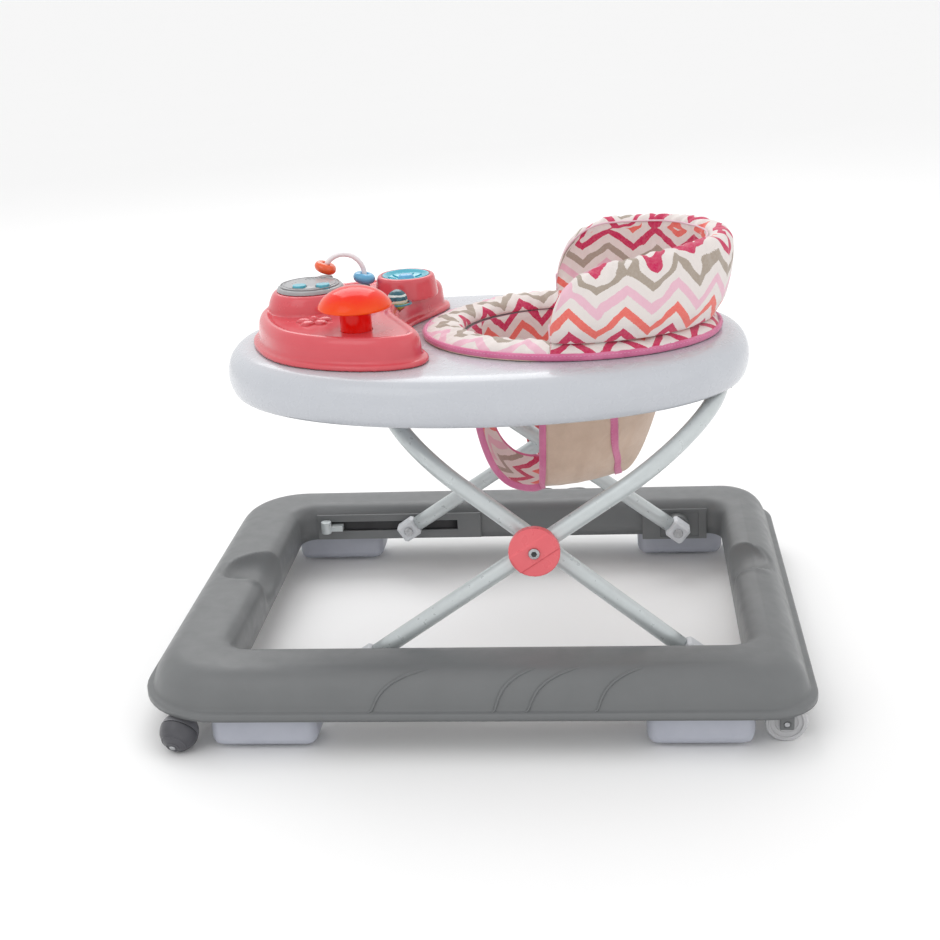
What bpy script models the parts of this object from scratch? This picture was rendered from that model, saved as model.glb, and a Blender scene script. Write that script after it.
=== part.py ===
"""Baby walker on a ring base: two crossed U-shaped tubes carry a tray with a seat and a toy panel.

Metres, +Z up. The front (toy panel) is towards -X, the child's left is towards -Y, and the floor is z = 0.
"""

import math

import bmesh
import bpy
from mathutils import Matrix, Vector

# Base ring, in plan and in section
BASE_HALF_LENGTH = 0.36
BASE_HALF_WIDTH = 0.2953
BASE_FRONT_RADIUS = 0.096
BASE_REAR_RADIUS = 0.055
OPENING_FRONT_X = -0.264
OPENING_REAR_X = 0.291
OPENING_HALF_WIDTH = 0.2023
OPENING_FRONT_RADIUS = 0.022
OPENING_REAR_RADIUS = 0.02
LIP_Z = 0.043
CROWN_Z = 0.0885
SHELL = 0.003

# Crossed legs: pivots, lengths from the hub, and rest angles
REAR_PIVOT = Vector((0.234, 0.0, 0.059))
REAR_LEG_ANGLE = math.radians(37.87)
REAR_LEG_LOWER = 0.2085
REAR_LEG_UPPER = 0.2195
FRONT_LEG_ANGLE = math.radians(33.8)
FRONT_LEG_LOWER = 0.2255
FRONT_LEG_UPPER = 0.2445
TUBE_RADIUS = 0.0095
TUBE_WALL = 0.0013
FRONT_LEG_TOP_Y = 0.1772
FRONT_LEG_FOOT_Y = 0.1885
REAR_LEG_TOP_Y = 0.154
REAR_LEG_FOOT_Y = 0.176
FRONT_LEG_BEND = 0.145
REAR_LEG_BEND = 0.131
PLUG_LENGTH = 0.026

# Hub
HUB_RADIUS = 0.0275
HUB_CAP_Y = (0.0062, 0.0148)

# Slotted guides and rear pivots on the inner walls of the base
PLATE_INNER_Y = 0.1985
PLATE_OUTER_Y = 0.2018
SLOT_X = (-0.238, -0.055)
SLOT_Z = (0.0559, 0.0689)
PIN_RADIUS = 0.004

# Wheels
CASTOR_AXIS = (-0.3165, 0.2615)
CASTOR_BALL = (-0.3105, 0.2745)
BALL_RADIUS = 0.021
BALL_TILT = math.radians(28)
BALL_HEADING = math.radians(12)
WHEEL_RADIUS = 0.022
REAR_WHEEL = (0.3263, 0.256)
REAR_WHEEL_WIDTH = 0.014

# Tray
TRAY_CENTRE_X = 0.0126
TRAY_HALF_LENGTH = 0.2944
TRAY_HALF_WIDTH = 0.2027
TRAY_POWER = 2.15
TRAY_TOP_Z = 0.377
TRAY_SKIRT_Z = 0.327
TRAY_UNDER_Z = TRAY_TOP_Z - SHELL
HOLE_CENTRE_X = 0.11
HOLE_HALF = (0.13, 0.105)

# Seat
RING_OUTER = (0.165, 0.135)
RING_INNER = (0.121, 0.094)
RING_BASE_Z = 0.3775
RING_HEIGHT = 0.0155
BACK_THICKNESS = 0.028
BACK_SWEEP = math.radians(98)
BACK_FLARE = 0.014
BACK_BULGE = 0.0075
SLING_RIM = (0.1225, 0.0975)
SLING_RIM_Z = 0.3765
SLING_FRONT_X = 0.068
SLING_KEEL_Z = 0.2
SLING_REAR = (0.16, 0.206)
STRAP_HALF = 0.052

# Toy panel
PANEL_BASE_Z = 0.3774
PANEL_TOP_Z = 0.411
PANEL_FLAT_Z = 0.4078
KNOB_XY = (-0.118, -0.094)
POD_XY = (-0.187, 0.0155)
POD_BASE_Z = 0.4294
DIAL_XY = (-0.084, 0.072)
DISH_RIM_Z = 0.4302
ROLLER = Vector((-0.088, 0.018, 0.4125))
ARCH_CENTRE = Vector((-0.1553, 0.066, 0.4338))
ARCH_RADIUS = 0.0235
RED_BEAD_ANGLE = math.radians(159)
BLUE_BEAD_ANGLE = math.radians(-12.4)

GAP = 0.0004
SIDES = (("left", -1.0), ("right", 1.0))

HUB = REAR_PIVOT + REAR_LEG_LOWER * Vector((-math.cos(REAR_LEG_ANGLE), 0.0, math.sin(REAR_LEG_ANGLE)))
FRONT_LEG_DIRECTION = Vector((math.cos(FRONT_LEG_ANGLE), 0.0, math.sin(FRONT_LEG_ANGLE)))
REAR_LEG_DIRECTION = Vector((-math.cos(REAR_LEG_ANGLE), 0.0, math.sin(REAR_LEG_ANGLE)))
SLIDE_PIN = HUB - FRONT_LEG_LOWER * FRONT_LEG_DIRECTION
REAR_BAR = HUB + FRONT_LEG_UPPER * FRONT_LEG_DIRECTION
FRONT_BAR = HUB + REAR_LEG_UPPER * REAR_LEG_DIRECTION


def leg_y(foot_y, top_y, lower, upper, bend, distance):
    """Half-width of a splayed leg at a distance above the hub, from its foot to its bend."""
    share = (distance + lower) / (lower + upper - bend)
    return foot_y + (top_y - foot_y) * share


def front_leg_y(distance):
    return leg_y(
        FRONT_LEG_FOOT_Y, FRONT_LEG_TOP_Y, FRONT_LEG_LOWER, FRONT_LEG_UPPER, FRONT_LEG_BEND, distance
    )


def rear_leg_y(distance):
    return leg_y(REAR_LEG_FOOT_Y, REAR_LEG_TOP_Y, REAR_LEG_LOWER, REAR_LEG_UPPER, REAR_LEG_BEND, distance)


# ---------------------------------------------------------------- scene and helpers

for old in list(bpy.data.objects):
    bpy.data.objects.remove(old, do_unlink=True)

WALKER = bpy.data.collections.new("baby_walker")
CUTTERS = bpy.data.collections.new("cutters")
for collection in (WALKER, CUTTERS):
    bpy.context.scene.collection.children.link(collection)


def material(name, rgb, roughness, metallic=0.0):
    made = bpy.data.materials.new(name)
    made.use_nodes = True
    shader = made.node_tree.nodes["Principled BSDF"]
    shader.inputs["Base Color"].default_value = (*rgb, 1.0)
    shader.inputs["Roughness"].default_value = roughness
    shader.inputs["Metallic"].default_value = metallic
    return made


GREY_PLASTIC = material("grey_plastic", (0.22, 0.23, 0.225), 0.55)
PAD_PLASTIC = material("pad_plastic", (0.62, 0.62, 0.68), 0.5)
WHITE_PLASTIC = material("white_plastic", (0.72, 0.74, 0.78), 0.3)
TUBE_PAINT = material("tube_paint", (0.46, 0.5, 0.5), 0.35)
CORAL_PLASTIC = material("coral_plastic", (0.78, 0.16, 0.18), 0.25)
ORANGE_PLASTIC = material("orange_plastic", (0.85, 0.08, 0.01), 0.2)
CYAN_PLASTIC = material("cyan_plastic", (0.2, 0.56, 0.66), 0.3)
BLUE_PLASTIC = material("blue_plastic", (0.06, 0.3, 0.5), 0.3)
POD_PLASTIC = material("pod_plastic", (0.34, 0.34, 0.36), 0.35)
PLUM_PLASTIC = material("plum_plastic", (0.05, 0.04, 0.12), 0.3)
DARK_WHEEL = material("dark_wheel", (0.07, 0.07, 0.08), 0.4)
PALE_WHEEL = material("pale_wheel", (0.45, 0.45, 0.45), 0.5)
STEEL = material("zinc_steel", (0.6, 0.6, 0.6), 0.3, 1.0)
SEAT_FABRIC = material("seat_fabric", (0.8, 0.55, 0.58), 0.9)
SLING_FABRIC = material("sling_fabric", (0.58, 0.46, 0.36), 0.9)


def side_name(base, side):
    return f"{base}_{side}"


def ordered(a, b):
    return (min(a, b), max(a, b))


def pivot(name, place):
    """An empty on a joint's axis, which the pieces of that moving body are parented to."""
    empty = bpy.data.objects.new(f"pivot_{name}", None)
    empty.location = place
    WALKER.objects.link(empty)
    return empty


def attach(obj, parent):
    if parent is not None:
        obj.parent = parent
        obj.matrix_parent_inverse = Matrix.Translation(parent.location).inverted()


def piece(name, mesh_maker, finish, parent=None):
    """A new object of the walker from a bmesh that mesh_maker fills, in the walker's own coordinates."""
    work = bmesh.new()
    mesh_maker(work)
    if all(edge.is_manifold for edge in work.edges):
        bmesh.ops.recalc_face_normals(work, faces=work.faces)
    mesh = bpy.data.meshes.new(name)
    work.to_mesh(mesh)
    work.free()
    mesh.materials.append(finish)
    origin = parent.location.copy() if parent is not None else Vector()
    mesh.transform(Matrix.Translation(-origin))
    obj = bpy.data.objects.new(name, mesh)
    obj.location = origin
    WALKER.objects.link(obj)
    attach(obj, parent)
    mesh.shade_smooth()
    mesh.set_sharp_from_angle(angle=math.radians(35))
    return obj


def add_box(work, low, high):
    """A box between two corners. Returns its points."""
    low, high = Vector(low), Vector(high)
    size = high - low
    place = Matrix.Translation((low + high) / 2) @ Matrix.Diagonal((*size, 1.0))
    return bmesh.ops.create_cube(work, size=1.0, matrix=place)["verts"]


def add_cylinder(work, start, end, radius, segments=16, end_radius=None):
    """A capped cylinder or cone between two points."""
    start, end = Vector(start), Vector(end)
    axis = end - start
    turn = axis.to_track_quat("Z", "Y").to_matrix().to_4x4()
    return bmesh.ops.create_cone(
        work,
        cap_ends=True,
        segments=segments,
        radius1=radius,
        radius2=radius if end_radius is None else end_radius,
        depth=axis.length,
        matrix=Matrix.Translation((start + end) / 2) @ turn,
    )["verts"]


def add_rings(work, rings, closed=False, cap_first=False, cap_last=False):
    """Quads between rings of points; closed joins the last ring to the first."""
    rows = [[work.verts.new(point) for point in ring] for ring in rings]
    pairs = list(zip(rows, rows[1:]))
    if closed:
        pairs.append((rows[-1], rows[0]))
    for lower, upper in pairs:
        for i in range(len(lower)):
            j = (i + 1) % len(lower)
            work.faces.new((lower[i], lower[j], upper[j], upper[i]))
    if cap_first:
        work.faces.new(list(reversed(rows[0])))
    if cap_last:
        work.faces.new(rows[-1])
    return rows


def solidify(obj, thickness):
    """Gives an open shell its thickness, inwards from the modelled face."""
    modifier = obj.modifiers.new("wall", "SOLIDIFY")
    modifier.thickness = thickness
    modifier.offset = -1.0
    modifier.use_even_offset = True
    modifier.use_rim = True


def bevel(obj, width, segments=1):
    modifier = obj.modifiers.new("edges", "BEVEL")
    modifier.width = width
    modifier.segments = segments
    modifier.limit_method = "ANGLE"
    modifier.angle_limit = math.radians(40)


def cutter(name, mesh_maker):
    """A hidden mesh that Booleans take away."""
    work = bmesh.new()
    mesh_maker(work)
    mesh = bpy.data.meshes.new(name)
    work.to_mesh(mesh)
    work.free()
    obj = bpy.data.objects.new(name, mesh)
    obj.hide_render = True
    obj.display_type = "WIRE"
    CUTTERS.objects.link(obj)
    return obj


def boolean(obj, other, operation="DIFFERENCE"):
    modifier = obj.modifiers.new(other.name, "BOOLEAN")
    modifier.operation = operation
    modifier.solver = "EXACT"
    modifier.object = other


def hole(obj, start, end, radius, segments=16):
    """Cuts a round hole between two points."""
    name = f"{obj.name}_hole_{len(obj.modifiers)}"
    boolean(obj, cutter(name, lambda work: add_cylinder(work, start, end, radius, segments)))


def cylinder_piece(name, start, end, radius, finish, parent=None, segments=16):
    return piece(name, lambda work: add_cylinder(work, start, end, radius, segments), finish, parent)


def turned(name, profile, place, axis, finish, parent=None, steps=20):
    """A turned solid: profile holds (radius, height) from top to bottom along its outer side."""
    mesh = bpy.data.meshes.new(name)
    points = [(radius, 0.0, height) for radius, height in profile]
    mesh.from_pydata(points, [(i, i + 1) for i in range(len(points) - 1)], [])
    mesh.materials.append(finish)
    obj = bpy.data.objects.new(name, mesh)
    obj.location = place
    obj.rotation_euler = Vector(axis).to_track_quat("Z", "Y").to_euler()
    WALKER.objects.link(obj)
    screw = obj.modifiers.new("turn", "SCREW")
    screw.steps = steps
    screw.render_steps = steps
    screw.use_merge_vertices = True
    screw.merge_threshold = 0.00005
    screw.use_smooth_shade = True
    attach(obj, parent)
    return obj


def oval(centre_x, half, z, count, power=2.0):
    """A ring of points on an oval, anticlockwise from above; a power over 2 squares it up."""
    ring = []
    for i in range(count):
        angle = 2 * math.pi * i / count
        c, s = math.cos(angle), math.sin(angle)
        x = math.copysign(abs(c) ** (2 / power), c) * half[0]
        y = math.copysign(abs(s) ** (2 / power), s) * half[1]
        ring.append(Vector((centre_x + x, y, z)))
    return ring


# ---------------------------------------------------------------- base ring


def rounded_plan(front_x, rear_x, half_width, front_radius, rear_radius, z, corner_steps=7):
    """A rounded rectangle in plan, anticlockwise from above, starting at the rear right corner."""
    corners = (
        (rear_x - rear_radius, half_width - rear_radius, rear_radius, 0.0),
        (front_x + front_radius, half_width - front_radius, front_radius, 90.0),
        (front_x + front_radius, front_radius - half_width, front_radius, 180.0),
        (rear_x - rear_radius, rear_radius - half_width, rear_radius, 270.0),
    )
    ring = []
    for centre_x, centre_y, radius, start in corners:
        for i in range(corner_steps + 1):
            angle = math.radians(start + 90.0 * i / corner_steps)
            x = centre_x + radius * math.cos(angle)
            ring.append(Vector((x, centre_y + radius * math.sin(angle), z)))
    return ring


def outer_plan(inset, z):
    return rounded_plan(
        inset - BASE_HALF_LENGTH,
        BASE_HALF_LENGTH - inset,
        BASE_HALF_WIDTH - inset,
        BASE_FRONT_RADIUS - inset,
        BASE_REAR_RADIUS - inset * 0.6,
        z,
    )


def inner_plan(outset, z):
    return rounded_plan(
        OPENING_FRONT_X - outset,
        OPENING_REAR_X + outset,
        OPENING_HALF_WIDTH + outset,
        OPENING_FRONT_RADIUS + outset,
        OPENING_REAR_RADIUS + outset,
        z,
    )


def build_base():
    """The moulded ring: lip, sloping outer wall, crowned top and steep inner wall, open underneath."""
    outer = ((0.0, LIP_Z), (0.0, 0.0505), (0.007, 0.0545), (0.015, 0.071), (0.025, 0.0825), (0.038, 0.0875))
    inner = ((0.022, CROWN_Z), (0.009, 0.0855), (0.002, 0.0775), (0.0, LIP_Z))
    rings = [outer_plan(inset, z) for inset, z in outer]
    rings += [inner_plan(outset, z) for outset, z in inner]
    base = piece("base_frame", lambda work: add_rings(work, rings), GREY_PLASTIC)
    solidify(base, SHELL)
    for side, sign in SIDES:
        x, y = CASTOR_AXIS[0], sign * CASTOR_AXIS[1]

        def socket(work, x=x, y=y):
            add_cylinder(work, (x, y, 0.0445), (x, y, 0.0615), 0.0075, 14)

        boolean(base, cutter(side_name("castor_socket", side), socket), "UNION")
        hole(base, (x, y, 0.03), (x, y, 0.0565), 0.0039, 14)


def build_guide(side, sign):
    """The slotted guide for the front leg's sliding pin, on the inner wall."""

    def slab(work):
        y = ordered(sign * PLATE_INNER_Y, sign * PLATE_OUTER_Y)
        add_box(work, (-0.2435, y[0], LIP_Z + 0.001), (-0.024, y[1], 0.0785))

    def slot(work):
        y = ordered(sign * (PLATE_INNER_Y - 0.01), sign * (PLATE_OUTER_Y + 0.01))
        add_box(work, (SLOT_X[0], y[0], SLOT_Z[0]), (SLOT_X[1], y[1], SLOT_Z[1]))

    guide = piece(side_name("slide_guide", side), slab, GREY_PLASTIC)
    boolean(guide, cutter(side_name("slot", side), slot))


def build_pivot_plate(side, sign):
    """The rear housing with its recessed boss, bored for the rear leg's pivot pin."""
    x, z = REAR_PIVOT.x, REAR_PIVOT.z

    def slab(work):
        y = ordered(sign * PLATE_INNER_Y, sign * PLATE_OUTER_Y)
        add_box(work, (0.189, y[0], 0.037), (0.2725, y[1], 0.0785))

    def recess(work):
        y = ordered(sign * (PLATE_INNER_Y - 0.01), sign * (PLATE_INNER_Y + 0.0014))
        add_box(work, (0.2125, y[0], 0.0405), (0.262, y[1], 0.0745))

    def boss(work):
        foot = REAR_LEG_FOOT_Y + 0.0121
        add_cylinder(work, (x, sign * foot, z), (x, sign * (PLATE_INNER_Y + 0.0025), z), 0.0145, 20)

    plate = piece(side_name("pivot_plate", side), slab, GREY_PLASTIC)
    boolean(plate, cutter(side_name("plate_recess", side), recess))
    boolean(plate, cutter(side_name("pivot_boss", side), boss), "UNION")
    hole(plate, (x, sign * 0.16, z), (x, sign * (PLATE_OUTER_Y + 0.01), z), PIN_RADIUS + GAP)


def build_slot_stop(side, sign):
    """Front stop of a slot: an upright post with a flat bar that lies in the slot behind it."""
    x = SLOT_X[0] + 0.008
    middle = (SLOT_Z[0] + SLOT_Z[1]) / 2
    post_y = sign * (PLATE_INNER_Y - 0.0075)

    def post(work):
        add_cylinder(work, (x, post_y, 0.0565), (x, post_y, 0.0725), 0.0068, 14)

    def bar(work):
        y = ordered(post_y - sign * 0.002, sign * (PLATE_INNER_Y + 0.0025))
        add_box(work, (x + 0.001, y[0], middle - 0.0035), (x + 0.022, y[1], middle + 0.0035))

    stop = piece(side_name("slot_stop", side), post, TUBE_PAINT)
    boolean(stop, cutter(side_name("stop_bar", side), bar), "UNION")


def build_brake_pad(name, x_range, sign):
    """A stop block under the rail, with two posts up to the underside of the base."""

    def block(work):
        y = ordered(sign * 0.221, sign * 0.281)
        verts = add_box(work, (x_range[0], y[0], 0.004), (x_range[1], y[1], 0.056))
        low = min(v.co.z for v in verts)
        edges = {e for v in verts for e in v.link_edges}
        upright_or_low = []
        for edge in edges:
            start, end = (vert.co.z for vert in edge.verts)
            if abs(start - end) > 0.01 or start - low < 1e-6:
                upright_or_low.append(edge)
        bmesh.ops.bevel(work, geom=upright_or_low, offset=0.012, segments=3, affect="EDGES", profile=0.5)

    def posts(work):
        for share in (0.25, 0.75):
            x = x_range[0] + share * (x_range[1] - x_range[0])
            add_cylinder(work, (x, sign * 0.251, 0.05), (x, sign * 0.251, 0.0835), 0.007, 10)

    pad = piece(name, block, PAD_PLASTIC)
    boolean(pad, cutter(f"{name}_posts", posts), "UNION")


# ---------------------------------------------------------------- wheels


def build_castor(side, sign):
    """A ball castor: a hood that swivels on an upright stem, and a half-ball wheel on a tilted axle."""
    axis_xy = Vector((CASTOR_AXIS[0], sign * CASTOR_AXIS[1], 0.0))
    centre = Vector((CASTOR_BALL[0], sign * CASTOR_BALL[1], BALL_RADIUS))
    level = Vector((-math.sin(BALL_HEADING), sign * math.cos(BALL_HEADING), 0.0))
    outward = math.cos(BALL_TILT) * level - math.sin(BALL_TILT) * Vector((0, 0, 1))
    swivel = pivot(side_name("castor", side), axis_xy)
    spin = pivot(side_name("ball", side), centre)
    attach(spin, swivel)

    def dome(radius, cut, top, steps=6):
        """Half-ball profile from its pole down to a flat face at height cut, back to the bore."""
        low = math.asin(cut / radius)
        arc = [low + (math.acos(0.0026 / radius) - low) * i / steps for i in range(steps + 1)]
        points = [(radius * math.cos(a), radius * math.sin(a)) for a in reversed(arc)]
        return [(0.0, top), (0.0026, top)] + points[1:] + [(0.0026, cut), (0.0026, 0.012), (0.0, 0.012)]

    wheel_profile = dome(BALL_RADIUS, 0.0006, BALL_RADIUS * 0.99)
    turned(side_name("castor_wheel", side), wheel_profile, centre, outward, DARK_WHEEL, spin, 20)
    hood_profile = dome(BALL_RADIUS * 0.985, 0.0006, BALL_RADIUS * 0.975)
    hood = turned(side_name("castor_hood", side), hood_profile, centre, -outward, DARK_WHEEL, swivel, 20)

    def stem(work):
        add_cylinder(work, axis_xy + Vector((0, 0, 0.030)), axis_xy + Vector((0, 0, 0.0432)), 0.0072, 14)
        add_cylinder(work, axis_xy + Vector((0, 0, 0.042)), axis_xy + Vector((0, 0, 0.0545)), 0.0035, 14)

    def clearance(work):
        """Keeps the stem's foot out of the wheel's side of the ball."""
        add_cylinder(work, centre - 0.0006 * outward, centre + 0.03 * outward, 0.03, 16)

    stem_cutter = cutter(side_name("stem", side), stem)
    boolean(stem_cutter, cutter(side_name("wheel_room", side), clearance))
    boolean(hood, stem_cutter, "UNION")
    pin_ends = (centre - 0.0113 * outward, centre + 0.0113 * outward)
    cylinder_piece(side_name("castor_axle", side), *pin_ends, 0.0021, STEEL, spin, 10)


def build_rear_wheel(side, sign):
    """A plain roller on a fixed axle between the two arms of a bracket inside the base."""
    x, y = REAR_WHEEL[0], sign * REAR_WHEEL[1]
    centre = Vector((x, y, WHEEL_RADIUS))
    across = Vector((0, 1, 0))
    spin = pivot(side_name("rear_wheel", side), centre)
    half = REAR_WHEEL_WIDTH / 2
    profile = [
        (0.0034, half),
        (0.007, half),
        (0.008, half - 0.0015),
        (0.0165, half - 0.0015),
        (0.0175, half - 0.0002),
        (WHEEL_RADIUS - 0.001, half - 0.0002),
        (WHEEL_RADIUS, half - 0.0015),
    ]
    profile += [(radius, -height) for radius, height in reversed(profile)]
    profile.append(profile[0])
    turned(side_name("rear_wheel", side), profile, centre, across, PALE_WHEEL, spin, 20)
    pin_ends = (centre - (half + 0.0045) * across, centre + (half + 0.0045) * across)
    cylinder_piece(side_name("rear_axle", side), *pin_ends, 0.003, STEEL, spin, 12)

    def arms(work):
        add_box(work, (x - 0.0075, y - half - 0.0045, 0.0155), (x + 0.0075, y + half + 0.0045, 0.06))

    def between(work):
        add_box(work, (x - 0.02, y - half - 0.001, 0.0), (x + 0.02, y + half + 0.001, 0.0565))

    holder = piece(side_name("rear_wheel_bracket", side), arms, GREY_PLASTIC)
    boolean(holder, cutter(side_name("wheel_gap", side), between))
    hole(holder, centre - 0.02 * across, centre + 0.02 * across, 0.0034, 12)


# ---------------------------------------------------------------- legs


def leg_path(direction, lower, upper, bend, y_at):
    """Points of a U-shaped tube: up one splayed side, across the crossbar and down the other side."""
    half = []
    for distance in (PLUG_LENGTH / 2 + 0.001 - lower, 0.0):
        point = HUB + distance * direction
        point.y = -y_at(distance)
        half.append(point)
    top_y = y_at(upper - bend)
    steps = 8
    for i in range(steps + 1):
        angle = math.pi / 2 * i / steps
        point = HUB + (upper - bend + bend * math.sin(angle)) * direction
        point.y = bend * (1 - math.cos(angle)) - top_y
        half.append(point)
    other = [Vector((p.x, -p.y, p.z)) for p in reversed(half)]
    return half + other


def build_tube(name, points, finish, parent, holes):
    """A hollow round tube along points, open at its ends, with cross holes."""
    curve = bpy.data.curves.new(name, "CURVE")
    curve.dimensions = "3D"
    curve.bevel_depth = TUBE_RADIUS
    curve.bevel_resolution = 2
    spline = curve.splines.new("POLY")
    spline.points.add(len(points) - 1)
    for target, point in zip(spline.points, points):
        target.co = (*point, 1.0)
    guide = bpy.data.objects.new(f"{name}_guide", curve)
    WALKER.objects.link(guide)
    bpy.context.view_layer.update()
    mesh = bpy.data.meshes.new_from_object(guide.evaluated_get(bpy.context.evaluated_depsgraph_get()))
    bpy.data.objects.remove(guide)
    bpy.data.curves.remove(curve)
    mesh.materials.clear()
    mesh.materials.append(finish)
    mesh.transform(Matrix.Translation(-parent.location))
    tube = bpy.data.objects.new(name, mesh)
    tube.location = parent.location
    WALKER.objects.link(tube)
    attach(tube, parent)
    mesh.shade_smooth()
    solidify(tube, TUBE_WALL)
    for start, end, radius in holes:
        hole(tube, start, end, radius, 12)
    return tube


def along(point, direction, low, high, y_range, half_width):
    """A box that lies along a leg: from low to high along direction, half_width to each side of it."""
    turn = Matrix.Rotation(math.atan2(direction.x, direction.z) - math.pi / 2, 4, "Y")
    size = Vector((high - low, y_range[1] - y_range[0], 2 * half_width))
    centre = point + direction * (low + high) / 2
    centre.y = (y_range[0] + y_range[1]) / 2
    return Matrix.Translation(centre) @ turn @ Matrix.Diagonal((*size, 1.0))


def build_plug(name, point, direction, y_range, finish, parent):
    """The moulded end plug of a leg, bored across for its pin."""

    def block(work):
        matrix = along(point, direction, -PLUG_LENGTH / 2, PLUG_LENGTH / 2, y_range, 0.0122)
        bmesh.ops.create_cube(work, size=1.0, matrix=matrix)

    plug = piece(name, block, finish, parent)
    bevel(plug, 0.003)
    ends = [(point.x, y, point.z) for y in (y_range[0] - 0.01, y_range[1] + 0.01)]
    hole(plug, *ends, PIN_RADIUS + GAP, 14)


def build_hub_cap(side, sign, parent):
    """The hub's round cap with a raised band, hollowed to sit on the front leg's tube."""
    name = side_name("hub_cap", side)
    tube_y = front_leg_y(0.0)
    low, high = (sign * (tube_y + offset) for offset in HUB_CAP_Y)
    tilt = Vector((0.0, sign * (front_leg_y(0.01) - tube_y) / 0.01, 0.0))
    along_tube = (FRONT_LEG_DIRECTION + tilt).normalized()
    centre = Vector((HUB.x, sign * tube_y, HUB.z))

    def disc(work):
        add_cylinder(work, (HUB.x, low, HUB.z), (HUB.x, high, HUB.z), HUB_RADIUS, 28)

    def band(work):
        y = ordered(high - sign * 0.003, high + sign * 0.0013)
        matrix = along(HUB, FRONT_LEG_DIRECTION, -0.0255, 0.0255, y, 0.0105)
        bmesh.ops.create_cube(work, size=1.0, matrix=matrix)

    def channel(work):
        add_cylinder(work, centre - 0.05 * along_tube, centre + 0.05 * along_tube, TUBE_RADIUS + GAP, 14)

    cap = piece(name, disc, CORAL_PLASTIC, parent)
    boolean(cap, cutter(f"{name}_band", band), "UNION")
    boolean(cap, cutter(f"{name}_channel", channel))
    hole(cap, (HUB.x, low - sign * 0.01, HUB.z), (HUB.x, high + sign * 0.01, HUB.z), PIN_RADIUS + GAP, 14)


def headed_pin(name, point, y_head, y_shank, y_tip, head_radius, parent):
    """A steel pin across the walker: a round head, then a shank from y_shank to its tip."""
    way = math.copysign(1.0, y_head - y_tip)
    length = abs(y_head - y_tip)
    shoulder = abs(y_shank - y_tip)
    profile = [
        (0.0, length),
        (head_radius - 0.0008, length),
        (head_radius, length - 0.0008),
        (head_radius, shoulder),
        (PIN_RADIUS, shoulder),
        (PIN_RADIUS, 0.0),
        (0.0, 0.0),
    ]
    turned(name, profile, (point.x, y_tip, point.z), (0, way, 0), STEEL, parent, 14)


def build_rear_leg(parent):
    """The U-shaped tube hinged on the rear plates; its crossbar slides under the front of the tray."""
    path = leg_path(REAR_LEG_DIRECTION, REAR_LEG_LOWER, REAR_LEG_UPPER, REAR_LEG_BEND, rear_leg_y)
    hub_y = rear_leg_y(0.0)
    foot_y = REAR_LEG_FOOT_Y
    half = 0.0115
    hub_holes = []
    for side, sign in SIDES:
        hub_holes.append(
            ((HUB.x, sign * hub_y - 0.02, HUB.z), (HUB.x, sign * hub_y + 0.02, HUB.z), PIN_RADIUS + GAP)
        )
        point = Vector((REAR_PIVOT.x, sign * foot_y, REAR_PIVOT.z))
        plug_y = ordered(sign * (foot_y - half), sign * (foot_y + half))
        name = side_name("rear_leg_plug", side)
        build_plug(name, point, REAR_LEG_DIRECTION, plug_y, WHITE_PLASTIC, parent)
        headed_pin(
            side_name("rear_pivot_pin", side),
            point,
            sign * (foot_y - half - 0.0036),
            sign * (foot_y - half - 0.0005),
            sign * (PLATE_OUTER_Y - 0.001),
            0.0062,
            parent,
        )
        nut_y = hub_y - TUBE_RADIUS - 0.0006
        nut = cylinder_piece(
            side_name("hub_nut", side),
            (HUB.x, sign * nut_y, HUB.z),
            (HUB.x, sign * (nut_y - 0.0055), HUB.z),
            0.0078,
            STEEL,
            parent,
            6,
        )
        ends = [(HUB.x, sign * nut_y + offset, HUB.z) for offset in (-0.02, 0.02)]
        hole(nut, *ends, PIN_RADIUS + GAP, 14)
    build_tube("rear_leg_tube", path, TUBE_PAINT, parent, hub_holes)


def build_front_leg(parent):
    """The U-shaped tube that slides in the base slots; its crossbar turns under the rear of the tray."""
    path = leg_path(FRONT_LEG_DIRECTION, FRONT_LEG_LOWER, FRONT_LEG_UPPER, FRONT_LEG_BEND, front_leg_y)
    hub_y = front_leg_y(0.0)
    foot_y = FRONT_LEG_FOOT_Y
    half = 0.0095
    hub_holes = []
    for side, sign in SIDES:
        hub_holes.append(
            ((HUB.x, sign * hub_y - 0.02, HUB.z), (HUB.x, sign * hub_y + 0.02, HUB.z), PIN_RADIUS + GAP)
        )
        point = Vector((SLIDE_PIN.x, sign * foot_y, SLIDE_PIN.z))
        plug_y = ordered(sign * (foot_y - half), sign * (foot_y + half))
        name = side_name("front_leg_plug", side)
        build_plug(name, point, FRONT_LEG_DIRECTION, plug_y, WHITE_PLASTIC, parent)
        headed_pin(
            side_name("slide_pin", side),
            point,
            sign * (foot_y - half - 0.0036),
            sign * (foot_y - half - 0.0005),
            sign * (PLATE_OUTER_Y - 0.0005),
            0.0058,
            parent,
        )
        build_hub_cap(side, sign, parent)
        headed_pin(
            side_name("hub_bolt", side),
            HUB,
            sign * (hub_y + HUB_CAP_Y[1] + 0.0043),
            sign * (hub_y + HUB_CAP_Y[1] + 0.0017),
            sign * (rear_leg_y(0.0) - TUBE_RADIUS - 0.0055),
            0.0062,
            parent,
        )
    build_tube("front_leg_tube", path, TUBE_PAINT, parent, hub_holes)


# ---------------------------------------------------------------- tray


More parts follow.
